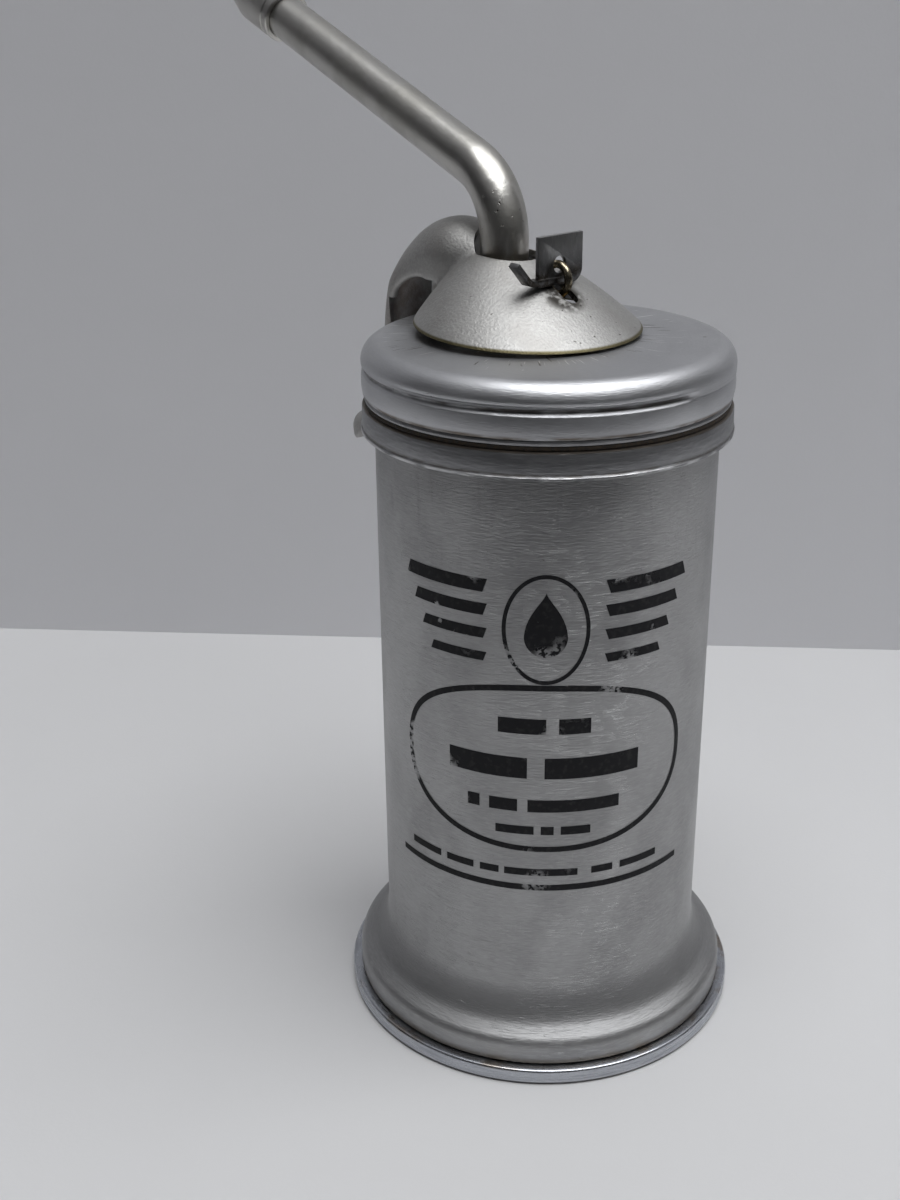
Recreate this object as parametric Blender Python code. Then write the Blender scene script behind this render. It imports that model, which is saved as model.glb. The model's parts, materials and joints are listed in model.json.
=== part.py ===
"""Hand-held pump oiler: a screw-capped can with a lift pump, a fixed spout and a trigger lever.

Frame: +Z up, origin on the can's axis at the level it stands on, +X the way the spout and the
trigger point. The lever plane is XZ. Sizes below are in millimetres and are turned to metres once.
"""

import math

import bmesh
import bpy
from mathutils import Vector

MM = 0.001
GAP = 0.3                 # between faces that meet
RUN = 0.08                # radial clearance of a pin or rod that turns or slides in its hole
FINE = 48                 # facets round the large shells
SMALL = 32                # facets round fittings
TINY = 16                 # facets round wire and balls

# Can
BODY_R = 24.0
BODY_WALL = 0.7
BODY_TOP = 99.6
FLARE_R = BODY_R + 4.6
FLARE_TOP = 14.6
FLARE_DROP = 7.5          # from its top to the turn over the foot
FLARE_INSET = 1.3         # of the curve's end from the foot's side
FOOT_TURN_R = 1.8
FOOT_TURN_Z = 5.1
RIM_R = BODY_R + 6.0
RIM_H = 2.5
RIM_W = 2.4
PLATE_T = 0.7
PLATE_LIFT = 0.6
NECK_LOW = BODY_TOP - 8.9
NECK_H = 3.7
NECK_R = BODY_R + 1.8
GASKET_T = 0.25

# Screw cap, its seal and the thread
CAP_R = BODY_R + 1.7
CAP_LOW = BODY_TOP - 4.1
CAP_TOP = BODY_TOP + 3.4
CAP_WALL = 0.8
CAP_SHOULDER = 2.8
CAP_INNER_TURN = 1.6
GROOVE_Z = BODY_TOP - 0.2
GROOVE_DEPTH = 0.45
GROOVE_HALF = 0.5
SEAL_RING_T = 0.25

# Pump layout along X
ROD_X = -1.8
SPOUT_X = 8.9
ROD_R = 1.0
BARREL_R = 7.0
BARREL_WALL = 1.0
BARREL_LOW = 30.0
HEAD_H = 3.9
ROD_BOSS_R = 3.2
SPOUT_BOSS_R = 3.9
BOSS_H = 1.2              # above the cap's outer face
NUT_WALL = 0.9
GLAND_H = 2.7
GLAND_ROOF = 0.7
SPOUT_NUT_H = 3.4
VALVE_SEAT_H = 2.8        # of the discharge ball above the casting's underside
FLANGE_T = 0.8            # of the spout's foot, under its nut
PISTON_LOW = 58.0
PISTON_H = 6.0
CUP_H = 3.0
PISTON_NUT_H = 2.4
PISTON_NUT_HALF = 3.0
SPRING_WIRE = 0.5
SPRING_TURNS = 8.5
SPRING_INSET = 1.6        # of the return spring from the bore
PORT_R = 0.9

# Valves
BALL_R = 1.6
BALL_EASE = 0.1           # between the discharge ball, its seat and its spring
SMALL_SPRING_H = 4.0
SMALL_SPRING_R = 1.2
SMALL_WIRE = 0.25
FOOT_BALL_R = 2.0
FOOT_H = 12.0
FOOT_NECK = 1.6           # by which the foot valve is narrower below its flange
SEAT_H = 3.6
SEAT_R = 1.2
STOP_PIN_R = 0.5
BALL_LIFT = 0.8
SUCTION_R = 2.6
SUCTION_LOW = 8.0
STRAINER_R = 6.0
STRAINER_LOW = 4.0
STRAINER_WALL = 0.6

# Spout
SPOUT_R = 3.4
SPOUT_END_R = 3.2
SPOUT_WALL = 0.9
SPOUT_BEND_R = 10.5
SPOUT_CORNER_Z = CAP_TOP + 19.1    # where the upright and the long run would meet
SPOUT_RISE = 22.2         # degrees above level
SPOUT_RUN = 58.0          # from that corner to the tube's end
TIP_R = 3.9
TIP_LEN = 12.0
TIP_END_R = 2.1
TIP_SEAT = 4.0

# Lever: an oblique cone over the pump and a hollow trigger behind the spout
SHEET = 0.7
SKIRT_X = 4.0
SKIRT_R = 16.0
SKIRT_LIFT = 0.4          # of the front edge above the cap
SKIRT_TILT = 2.5          # degrees, raising the rear edge
CROWN_R = 4.6
CROWN_H = 9.8
HOLE_HALF = 4.15
HOLE_FRONT = 3.4
HOLE_REAR = 13.1
SLOT_FRONT = -5.2
SLOT_REAR = 1.2
SLOT_HALF = 1.15
ARCH_HALF = 6.2
TAIL_HALF = 4.4
LEG_DEPTH = 8.4            # of the trigger's section behind the spout, and of its tail
TAIL_DEPTH = 4.2
NOTCH_FRONT = 13.0        # opening at the skirt's rear, under the trigger
NOTCH_HALF = 5.4
NOTCH_TOP = CAP_TOP + 6.6
NOTCH_MARGIN = 1.5

# Fulcrum
PIVOT_X = 17.0
PIVOT_Z = CAP_TOP + 3.2
PIN_R = 1.0
EAR_T = 0.7
EAR_HALF_X = 1.8
BRACKET_Y = 3.9           # outer face of the bracket's ears

# Rod eye and its clip
EYE_R = 2.0
EYE_WIRE = 0.55
EYE_Z = CAP_TOP + 8.0
CLIP_T = 0.7
CLIP_HALF_Y = 3.85
CLIP_H = 6.2
CLIP_CORNER = 1.2
CLIP_DROP = 0.3           # of its strip below the eye's centre
CLIP_STRIP_HALF = 0.85
CLIP_HOLE_R = 1.15


def clear_scene():
    for obj in list(bpy.data.objects):
        bpy.data.objects.remove(obj, do_unlink=True)
    for mesh in list(bpy.data.meshes):
        bpy.data.meshes.remove(mesh)


def material(name, colour, roughness, metallic):
    mat = bpy.data.materials.new(name)
    mat.use_nodes = True
    shader = mat.node_tree.nodes["Principled BSDF"]
    shader.inputs["Base Color"].default_value = (*colour, 1.0)
    shader.inputs["Roughness"].default_value = roughness
    shader.inputs["Metallic"].default_value = metallic
    return mat


def finish(name, bm, look, at=(0, 0, 0), parent=None, cutter=False, sharp=35):
    """Writes bm, in millimetres, to an object whose origin is at the given point."""
    bmesh.ops.remove_doubles(bm, verts=bm.verts, dist=0.0005)
    bmesh.ops.recalc_face_normals(bm, faces=bm.faces)
    bmesh.ops.translate(bm, verts=bm.verts, vec=-Vector(at))
    bmesh.ops.scale(bm, verts=bm.verts, vec=(MM, MM, MM))
    mesh = bpy.data.meshes.new(name)
    bm.to_mesh(mesh)
    bm.free()
    mesh.shade_smooth()
    mesh.set_sharp_from_angle(angle=math.radians(sharp))
    obj = bpy.data.objects.new(name, mesh)
    bpy.context.scene.collection.objects.link(obj)
    place = Vector(at) * MM
    if parent:
        obj.parent = parent
        place -= parent.matrix_world.translation
    obj.location = place
    if look:
        mesh.materials.append(look)
    if cutter:
        obj.hide_render = True
        obj.display_type = "WIRE"
    return obj


def lathe(name, outline, look, x=0.0, steps=FINE):
    """Turns a closed (radius, height) outline about the upright line at x."""
    bm = bmesh.new()
    verts = [bm.verts.new((r, 0, z)) for r, z in outline]
    edges = [bm.edges.new((a, b)) for a, b in zip(verts, verts[1:] + verts[:1]) if on_shell(a, b)]
    bmesh.ops.spin(bm, geom=verts + edges, cent=(0, 0, 0), axis=(0, 0, 1),
                   angle=math.tau, steps=steps, use_duplicate=False)
    bmesh.ops.remove_doubles(bm, verts=bm.verts, dist=0.0005)
    bmesh.ops.translate(bm, verts=bm.verts, vec=(x, 0, 0))
    return finish(name, bm, look, at=(x, 0, 0))


def on_shell(a, b):
    """False for an outline's stretch along the axis, which makes no face."""
    return a.co.x > 1e-6 or b.co.x > 1e-6


def disc(low, high, radius):
    return [(0, high), (radius, high), (radius, low), (0, low)]


def ring(low, high, inner, outer):
    return [(inner, high), (outer, high), (outer, low), (inner, low)]


def arc(cx, cz, radius, start, end, count):
    """Points of a circular arc, in degrees from the +X side, both ends included."""
    angles = [math.radians(start + (end - start) * i / count) for i in range(count + 1)]
    return [(cx + radius * math.cos(a), cz + radius * math.sin(a)) for a in angles]


def bridge(bm, rings, wrap=False):
    """Joins equal rings of points into a skin, closing both ends with a face unless they wrap."""
    made = [[bm.verts.new(p) for p in points] for points in rings]
    pairs = list(zip(made, made[1:] + made[:1] if wrap else made[1:]))
    for one, two in pairs:
        for i in range(len(one)):
            j = (i + 1) % len(one)
            bm.faces.new((one[i], one[j], two[j], two[i]))
    if not wrap:
        bm.faces.new(made[0])
        bm.faces.new(made[-1])


def prism(bm, outline, low, high, axis="z"):
    """Extrudes a closed outline between two levels of one axis."""
    place = {"x": lambda u, v, w: (w, u, v),
             "y": lambda u, v, w: (u, w, v),
             "z": lambda u, v, w: (u, v, w)}[axis]
    bridge(bm, [[place(u, v, w) for u, v in outline] for w in (low, high)])


def box(bm, x, y, z):
    prism(bm, [(x[0], y[0]), (x[1], y[0]), (x[1], y[1]), (x[0], y[1])], z[0], z[1])


def rod_cutter(name, radius, low, high, axis="z", centre=(0, 0), steps=SMALL):
    """A round cutter along one axis; centre is its place in the other two."""
    bm = bmesh.new()
    prism(bm, arc(*centre, radius, 0, 360, steps)[:-1], low, high, axis)
    return finish(name, bm, None, cutter=True)


def slot_outline(front, rear, half, steps=12):
    return arc(rear - half, 0, half, -90, 90, steps) + arc(front + half, 0, half, 90, 270, steps)


def boolean(obj, tool, operation="DIFFERENCE"):
    mod = obj.modifiers.new(tool.name, "BOOLEAN")
    mod.operation = operation
    mod.object = tool
    mod.solver = "EXACT"


def sweep(bm, path, section, wrap=False):
    """Carries a section along a path in the XZ plane. section(i) gives (inward, across) pairs."""
    rings = []
    for i, (x, z) in enumerate(path):
        before = path[i - 1] if i or wrap else path[i]
        after = path[(i + 1) % len(path)] if i + 1 < len(path) or wrap else path[i]
        along = Vector((after[0] - before[0], after[1] - before[1])).normalized()
        inward = Vector((along.y, -along.x))
        rings.append([(x + inward.x * d, y, z + inward.y * d) for d, y in section(i)])
    bridge(bm, rings, wrap)


def circle_section(radius, steps):
    points = arc(0, 0, radius, 0, 360, steps)[:-1]
    return lambda i: points


# ---------------------------------------------------------------- can

def body_outline():
    """Wall of the can from its neck down its outside, round the flared foot and up its inside."""
    low = RIM_H + GAP
    neck_r = FLARE_R - FLARE_INSET
    outside = [(BODY_R, BODY_TOP), (BODY_R, FLARE_TOP)]
    outside += [(BODY_R + (neck_r - BODY_R) * (1 - math.cos(t)), FLARE_TOP - FLARE_DROP * math.sin(t))
                for t in (math.radians(15 * k) for k in range(1, 6))]
    outside += arc(FLARE_R - FOOT_TURN_R, FOOT_TURN_Z, FOOT_TURN_R, 62, 0, 5)
    outside += [(FLARE_R, low)]
    inside = [(r - BODY_WALL, z) for r, z in reversed(outside)]
    return outside + inside


def make_can(looks):
    lathe("body_shell", body_outline(), looks["can"])
    inner = RIM_R - RIM_W
    rim = [(inner, RIM_H), (RIM_R - 0.5, RIM_H)] + arc(RIM_R - 0.5, RIM_H - 0.5, 0.5, 60, 0, 2)
    rim += arc(RIM_R - 0.6, 0.6, 0.6, 0, -90, 3) + [(inner, 0)]
    lathe("base_rim", rim, looks["rim"])
    low = PLATE_LIFT
    lathe("bottom_plate", disc(low, low + PLATE_T, inner - GAP), looks["plate"])
    top = NECK_LOW + NECK_H
    inner = BODY_R + GAP
    neck = [(inner, top), (NECK_R - 0.5, top), (NECK_R - 0.15, top - 0.4)]
    neck += [(NECK_R - 0.05, NECK_LOW + 0.7), (NECK_R + 0.1, NECK_LOW + 0.5), (NECK_R + 0.1, NECK_LOW)]
    lathe("neck_ring", neck + [(inner, NECK_LOW)], looks["neck"])


def make_seal(looks):
    low = NECK_LOW + NECK_H + GAP
    inner = BODY_R + GAP
    lathe("cap_gasket", ring(low, low + GASKET_T, inner, NECK_R - 1.0), looks["cork"])
    lathe("seal_ring", ring(CAP_LOW - SEAL_RING_T, CAP_LOW, inner, NECK_R - 0.9), looks["rim"])


# ---------------------------------------------------------------- cap and pump head

def cap_outline():
    side = CAP_R - 0.1
    outside = [(0, CAP_TOP), (CAP_R - CAP_SHOULDER, CAP_TOP)]
    outside += arc(CAP_R - CAP_SHOULDER, CAP_TOP - CAP_SHOULDER, CAP_SHOULDER, 75, 0, 5)
    root = CAP_R - GROOVE_DEPTH
    outside += [(side, GROOVE_Z + GROOVE_HALF), (root, GROOVE_Z + 0.1), (root, GROOVE_Z - 0.1)]
    outside += [(side, GROOVE_Z - GROOVE_HALF), (CAP_R, GROOVE_Z - 1.4), (CAP_R, CAP_LOW + 0.6)]
    outside += [(side, CAP_LOW + GAP)]
    top = CAP_TOP - CAP_WALL
    inner = root - CAP_WALL
    turn = CAP_INNER_TURN
    return outside + [(inner, CAP_LOW + GAP), (inner, top - turn), (inner - turn, top), (0, top)]


def make_cap(looks):
    cap = lathe("screw_cap", cap_outline(), looks["cap"])
    for name, x, radius in (("rod", ROD_X, ROD_BOSS_R), ("spout", SPOUT_X, SPOUT_BOSS_R)):
        hole = rod_cutter(f"cap_hole_{name}", radius + GAP, CAP_TOP - 3, CAP_TOP + 2, centre=(x, 0))
        boolean(cap, hole)


def head_levels():
    top = CAP_TOP - CAP_WALL - GAP
    return top - HEAD_H, top


def make_pump_head(looks):
    """Casting under the cap: bosses for the rod and the spout and the passage between them."""
    low, top = head_levels()
    bm = bmesh.new()
    outline = arc(SPOUT_X, 0, 6.0, -70, 70, 10) + arc(ROD_X, 0, BARREL_R + 1.0, 80, 280, 16)
    prism(bm, outline, low, top)
    head = finish("pump_head", bm, looks["casting"])
    for name, x, radius in (("rod", ROD_X, ROD_BOSS_R), ("spout", SPOUT_X, SPOUT_BOSS_R)):
        boss = rod_cutter(f"head_boss_{name}", radius, low + 1, CAP_TOP + BOSS_H, centre=(x, 0))
        boolean(head, boss, "UNION")
    port_z = low + 1.6
    cuts = [rod_cutter("head_rod_bore", ROD_R + RUN, low - 1, CAP_TOP + BOSS_H + 1, centre=(ROD_X, 0)),
            rod_cutter("head_chamber", BARREL_R - BARREL_WALL, low - 1, low + 2.6, centre=(ROD_X, 0)),
            rod_cutter("head_port", PORT_R, ROD_X + 3, SPOUT_X, "x", (0, port_z)),
            rod_cutter("head_inlet", PORT_R, port_z, low + 3, centre=(SPOUT_X, 0), steps=TINY),
            rod_cutter("head_valve", BALL_R + GAP, low + VALVE_SEAT_H, CAP_TOP + BOSS_H + 1,
                       centre=(SPOUT_X, 0))]
    for cut in cuts:
        boolean(head, cut)


def ball(name, radius, x, z, look):
    bm = bmesh.new()
    bmesh.ops.create_uvsphere(bm, u_segments=TINY, v_segments=10, radius=radius)
    bmesh.ops.translate(bm, verts=bm.verts, vec=(x, 0, z))
    return finish(name, bm, look, at=(x, 0, z))


def coil(name, look, x, low, high, radius, wire, turns):
    """Helical spring between two levels, its wire's ends cut square."""
    count = int(turns * 11)
    bm = bmesh.new()
    rings = []
    climb = high - low - 2 * wire
    for i in range(count + 1):
        a = math.tau * turns * i / count
        centre = Vector((x + radius * math.cos(a), radius * math.sin(a), low + wire + climb * i / count))
        out = Vector((math.cos(a), math.sin(a), 0))
        rings.append([centre + out * wire * math.cos(b) + Vector((0, 0, wire * math.sin(b)))
                      for b in (math.tau * k / 5 for k in range(5))])
    bridge(bm, rings)
    return finish(name, bm, look, at=(x, 0, 0))


def hex_nut_outline(flat):
    radius = flat / math.cos(math.radians(30))
    return arc(0, 0, radius, 30, 330, 5)


def nut(name, look, x, low, height, flat, thread_r, neck_r, roof):
    """Hexagon cap nut: a thread hole from below and a smaller hole through its roof."""
    bm = bmesh.new()
    prism(bm, [(x + u, v) for u, v in hex_nut_outline(flat)], low, low + height)
    made = finish(name, bm, look, at=(x, 0, 0))
    boolean(made, rod_cutter(name + "_thread", thread_r, low - 1, low + height - roof, centre=(x, 0)))
    boolean(made, rod_cutter(name + "_neck", neck_r, low, low + height + 1, centre=(x, 0)))


def make_fittings(looks):
    low = CAP_TOP + GAP
    boss_top = CAP_TOP + BOSS_H
    roof = low + GLAND_H - GLAND_ROOF
    nut("gland_nut", looks["brass"], ROD_X, low, GLAND_H, ROD_BOSS_R + GAP + NUT_WALL, ROD_BOSS_R + GAP,
        ROD_R + RUN, GLAND_ROOF)
    lathe("packing_ring", ring(boss_top + GAP, roof - GAP, ROD_R + RUN, ROD_BOSS_R), looks["cork"],
          ROD_X, steps=SMALL)
    nut("spout_nut", looks["brass"], SPOUT_X, low, SPOUT_NUT_H, SPOUT_BOSS_R + GAP + NUT_WALL,
        SPOUT_BOSS_R + GAP, SPOUT_R + GAP, SPOUT_NUT_H - BOSS_H - FLANGE_T - GAP)


def make_pump(looks):
    low, _ = head_levels()
    bore = BARREL_R - BARREL_WALL
    lathe("pump_barrel", ring(BARREL_LOW, low - GAP, bore, BARREL_R), looks["tube"], ROD_X, steps=SMALL)
    coil("return_spring", looks["wire"], ROD_X, PISTON_LOW + PISTON_H + GAP, low - GAP,
         bore - SPRING_INSET, SPRING_WIRE, SPRING_TURNS)
    guide = ROD_R + GAP
    piston = [(guide, PISTON_LOW + PISTON_H), (bore - 1.2, PISTON_LOW + PISTON_H)]
    piston += [(bore - RUN, PISTON_LOW + PISTON_H - 1.2), (bore - RUN, PISTON_LOW), (guide, PISTON_LOW)]
    lathe("piston", piston, looks["brass"], ROD_X, steps=SMALL)
    cup_low = PISTON_LOW - GAP - CUP_H
    cup = [(guide, cup_low + CUP_H), (bore - RUN, cup_low + CUP_H), (bore - RUN, cup_low)]
    cup += [(bore - 0.9, cup_low), (bore - 1.1, cup_low + CUP_H - 1.0), (guide, cup_low + CUP_H - 1.0)]
    lathe("piston_cup", cup, looks["leather"], ROD_X, steps=SMALL)
    nut_top = cup_low + CUP_H - 1.0 - GAP
    bm = bmesh.new()
    prism(bm, [(ROD_X + u, v) for u, v in hex_nut_outline(PISTON_NUT_HALF)], nut_top - PISTON_NUT_H, nut_top)
    made = finish("piston_nut", bm, looks["brass"], at=(ROD_X, 0, 0))
    boolean(made, rod_cutter("piston_nut_thread", guide, nut_top - 5, nut_top + 1, centre=(ROD_X, 0)))
    return nut_top - PISTON_NUT_H


def make_foot_valve(looks):
    """Suction end: seat and cage for the ball, a dip tube and a strainer cup round its mouth."""
    top = BARREL_LOW - GAP
    low = top - FOOT_H
    tube = SUCTION_R
    seat = low + SEAT_H
    neck = BARREL_R - FOOT_NECK
    cage = FOOT_BALL_R + GAP
    foot = [(cage, top), (BARREL_R, top), (BARREL_R, top - 3), (neck, top - 3 - FOOT_NECK), (neck, low)]
    foot += [(tube + GAP, low), (tube + GAP, seat - 1.2), (SEAT_R, seat - 0.8), (SEAT_R, seat)]
    foot += [(cage, seat + 1.2)]
    valve = lathe("foot_valve", foot, looks["brass"], ROD_X, steps=SMALL)
    centre = seat + FOOT_BALL_R * 0.9
    ball("foot_ball", FOOT_BALL_R, ROD_X, centre, looks["ball"])
    pin_z = centre + FOOT_BALL_R + BALL_LIFT + STOP_PIN_R + RUN
    boolean(valve, rod_cutter("foot_pin_hole", STOP_PIN_R + RUN, -BARREL_R - 1, BARREL_R + 1, "y",
                              (ROD_X, pin_z), TINY))
    bm = bmesh.new()
    reach = BARREL_R - 0.4
    prism(bm, arc(ROD_X, pin_z, STOP_PIN_R, 0, 360, 12)[:-1], -reach, reach, "y")
    finish("ball_stop_pin", bm, looks["wire"], at=(ROD_X, 0, pin_z))
    suction = ring(SUCTION_LOW, seat - 1.2 - GAP, tube - 0.8, tube)
    lathe("suction_tube", suction, looks["tube"], ROD_X, steps=24)
    cup_top = SUCTION_LOW + 3.0
    cup = [(tube + GAP, cup_top), (STRAINER_R, cup_top - 0.8), (STRAINER_R, STRAINER_LOW)]
    wall = STRAINER_WALL
    cup += [(0, STRAINER_LOW), (0, STRAINER_LOW + wall), (STRAINER_R - wall, STRAINER_LOW + wall)]
    cup += [(STRAINER_R - wall, cup_top - 1.4), (tube + GAP, cup_top - wall)]
    strainer = lathe("strainer", cup, looks["tube"], ROD_X, steps=24)
    for k in range(6):
        a = math.tau * (k + 0.5) / 6
        x, y = ROD_X + 3.6 * math.cos(a), 3.6 * math.sin(a)
        boolean(strainer, rod_cutter(f"strainer_hole_{k}", 0.6, STRAINER_LOW - 1, STRAINER_LOW + 1.5,
                                     centre=(x, y), steps=8))


# ---------------------------------------------------------------- spout

def spout_path():
    """Upright, bend and long rising run, in the lever plane."""
    rise = math.radians(SPOUT_RISE)
    turn = math.radians(90) - rise
    tangent = SPOUT_BEND_R * math.tan(turn / 2)
    low = CAP_TOP + BOSS_H + GAP
    cx = SPOUT_X + SPOUT_BEND_R
    cz = SPOUT_CORNER_Z - tangent
    path = [(SPOUT_X, low + up) for up in (0, FLANGE_T, FLANGE_T + 0.1, 5)]
    path += arc(cx, cz, SPOUT_BEND_R, 180, 90 + SPOUT_RISE, 12)
    end = (SPOUT_X + SPOUT_RUN * math.cos(rise), SPOUT_CORNER_Z + SPOUT_RUN * math.sin(rise))
    start = path[-1]
    path += [(start[0] + (end[0] - start[0]) * k / 3, start[1] + (end[1] - start[1]) * k / 3)
             for k in (1, 2, 3)]
    return path


def make_spout(looks):
    path = spout_path()
    last = len(path) - 1

    def outer(i):
        thinned = (SPOUT_R - SPOUT_END_R) * max(0, i - 4) / (last - 4)
        return arc(0, 0, SPOUT_BOSS_R if i < 2 else SPOUT_R - thinned, 0, 360, 24)[:-1]

    bm = bmesh.new()
    sweep(bm, path, outer)
    tube = finish("spout_tube", bm, looks["spout"], at=(SPOUT_X, 0, CAP_TOP))
    bore = bmesh.new()
    before, after = path[0], path[-1]
    rise = math.radians(SPOUT_RISE)
    longer = [(before[0], before[1] - 1)] + path[1:-1]
    longer += [(after[0] + math.cos(rise), after[1] + math.sin(rise))]
    sweep(bore, longer, circle_section(SPOUT_R - SPOUT_WALL, 16))
    boolean(tube, finish("spout_bore", bore, None, cutter=True))
    along = Vector((math.cos(rise), math.sin(rise)))
    end = Vector(after)
    bm = bmesh.new()
    stations = [(-TIP_SEAT, TIP_R), (TIP_LEN * 0.35, TIP_R), (TIP_LEN * 0.5, TIP_R - 0.5)]
    stations += [(TIP_LEN, TIP_END_R)]
    sweep(bm, [tuple(end + along * d) for d, _ in stations],
          lambda i: arc(0, 0, stations[i][1], 0, 360, 24)[:-1])
    tip = finish("nozzle_tip", bm, looks["spout"], at=(end.x, 0, end.y))
    bores = (("socket", SPOUT_R + RUN, -TIP_SEAT - 1, GAP), ("orifice", PORT_R, 0, TIP_LEN + 1))
    for name, radius, start, stop in bores:
        cut = bmesh.new()
        sweep(cut, [tuple(end + along * start), tuple(end + along * stop)], circle_section(radius, 24))
        boolean(tip, finish(f"tip_{name}", cut, None, cutter=True))


# ---------------------------------------------------------------- lever

def skirt_rings(inset, drop, steps=FINE):
    """Rings of the oblique cone from rim to crown; inset makes the inner skin, drop opens its rim."""
    rings = []
    tilt = math.tan(math.radians(SKIRT_TILT))
    levels = [0, 0.08, 0.2, 0.35, 0.5, 0.65, 0.8, 0.92, 1.0]
    for d in levels:
        radius = SKIRT_R + (CROWN_R - SKIRT_R) * d - inset * 0.8
        x = SKIRT_X + (SPOUT_X - SKIRT_X) * d
        z = CAP_TOP + SKIRT_LIFT + CROWN_H * d * (1.3 - 0.3 * d) - inset * 0.9 * min(1, d * 6)
        lean = tilt * (1 - d)
        rings.append([(x + radius * math.cos(a), radius * math.sin(a),
                       z + lean * (SKIRT_R + radius * math.cos(a)))
                      for a in (math.tau * k / steps for k in range(steps))])
    if drop:
        rings.insert(0, [(x, y, z - drop) for x, y, z in rings[0]])
    return rings


def arch_path():
    """Ridge of the trigger: up behind the spout, over, down outside the cap and out to its tip."""
    over = [(7.0, 9.9), (12.0, 12.8), (17.0, 14.2), (22.0, 13.2)]
    down = [(2.5, 10.0), (5.8, 5.0), (7.6, -1.5), (8.4, -8.0), (10.4, -13.6), (14.2, -17.4), (19.0, -19.4)]
    knots = over + [(BODY_R + x, z) for x, z in down]
    knots = [(x, CAP_TOP + z) for x, z in knots]
    path = []
    for i in range(len(knots) - 1):
        before = knots[max(i - 1, 0)]
        after = knots[min(i + 2, len(knots) - 1)]
        for k in range(3):
            t = k / 3
            path.append(tuple(catmull(before[j], knots[i][j], knots[i + 1][j], after[j], t) for j in (0, 1)))
    return path + [knots[-1]]


def catmull(a, b, c, d, t):
    square, cube = 2 * a - 5 * b + 4 * c - d, 3 * b - a - 3 * c + d
    return 0.5 * (2 * b + (c - a) * t + square * t * t + cube * t ** 3)


def arch_section(i, count, inset):
    """Hooped section of the trigger at one station; the inner skin runs past the open side."""
    share = i / (count - 1)
    half = ARCH_HALF - (ARCH_HALF - TAIL_HALF) * max(0, share - 0.5) * 2
    half *= min(1, 0.72 + share * 2)
    depth = LEG_DEPTH - (LEG_DEPTH - TAIL_DEPTH) * min(1, max(0, share - 0.3) / 0.2)
    if share > 0.93:
        half *= 0.82
    half -= inset
    hoop = min(half, depth - 0.5)
    points = [(inset + hoop * (1 - math.cos(a)), half * math.sin(a))
              for a in (math.radians(-90 + 180 * k / 12) for k in range(13))]
    reach = depth + (0.5 if inset else 0)
    return points + [(reach, half), (reach, -half)]


def make_lever(looks, pivot):
    bm = bmesh.new()
    bridge(bm, skirt_rings(0, 0))
    lever = finish("lever", bm, looks["lever"], at=(PIVOT_X, 0, PIVOT_Z), parent=pivot, sharp=40)
    path = arch_path()
    hoops = {}
    for name, inset, skip in (("lever_arch", 0, 0), ("lever_hollow", SHEET, 1)):
        bm = bmesh.new()
        sections = [arch_section(i, len(path), inset) for i in range(skip, len(path) - skip)]
        sweep(bm, path[skip:len(path) - skip], sections.__getitem__)
        hoops[name] = finish(name, bm, None, cutter=True)
    boolean(lever, hoops["lever_arch"], "UNION")
    bm = bmesh.new()
    bridge(bm, skirt_rings(SHEET, 4))
    boolean(lever, finish("lever_inside", bm, None, cutter=True))
    boolean(lever, hoops["lever_hollow"])
    bm = bmesh.new()
    box(bm, (NOTCH_FRONT, SKIRT_X + SKIRT_R + NOTCH_MARGIN), (-NOTCH_HALF, NOTCH_HALF),
        (CAP_TOP - 3, NOTCH_TOP))
    boolean(lever, finish("lever_notch", bm, None, cutter=True))
    for name, front, rear, half in (("lever_spout_hole", HOLE_FRONT, HOLE_REAR, HOLE_HALF),
                                    ("lever_rod_slot", SLOT_FRONT, SLOT_REAR, SLOT_HALF)):
        bm = bmesh.new()
        prism(bm, slot_outline(front, rear, half), CAP_TOP + 2, CAP_TOP + 22)
        boolean(lever, finish(name, bm, None, cutter=True))


def ear_outline(low, high):
    x = EAR_HALF_X
    return [(PIVOT_X - x, low), (PIVOT_X + x, low), (PIVOT_X + x, high), (PIVOT_X - x, high)]


def make_fulcrum(looks, pivot):
    low = CAP_TOP + GAP
    bm = bmesh.new()
    y = BRACKET_Y
    top = PIVOT_Z + 1.9
    inner = y - EAR_T
    outline = [(-y, low), (y, low), (y, top), (inner, top), (inner, low + EAR_T), (-inner, low + EAR_T)]
    outline += [(-inner, top), (-y, top)]
    prism(bm, outline, PIVOT_X - EAR_HALF_X, PIVOT_X + EAR_HALF_X, "x")
    bracket = finish("fulcrum_bracket", bm, looks["steel"])
    hole = rod_cutter("fulcrum_hole", PIN_R + RUN, -12, 12, "y", (PIVOT_X, PIVOT_Z), 20)
    boolean(bracket, hole)
    reach = y + GAP + EAR_T + GAP / 2
    bm = bmesh.new()
    prism(bm, arc(PIVOT_X, PIVOT_Z, PIN_R, 0, 360, 20)[:-1], -reach, reach, "y")
    finish("fulcrum_pin", bm, looks["steel"], at=(PIVOT_X, 0, PIVOT_Z))
    for side, sign in (("left", 1), ("right", -1)):
        bm = bmesh.new()
        prism(bm, ear_outline(PIVOT_Z - 1.8, PIVOT_Z + 5.4), sign * (y + GAP), sign * (y + GAP + EAR_T), "y")
        ear = finish(f"lever_ear_{side}", bm, looks["steel"], at=(PIVOT_X, 0, PIVOT_Z), parent=pivot)
        boolean(ear, hole)


# ---------------------------------------------------------------- rod, eye and clip

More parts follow.
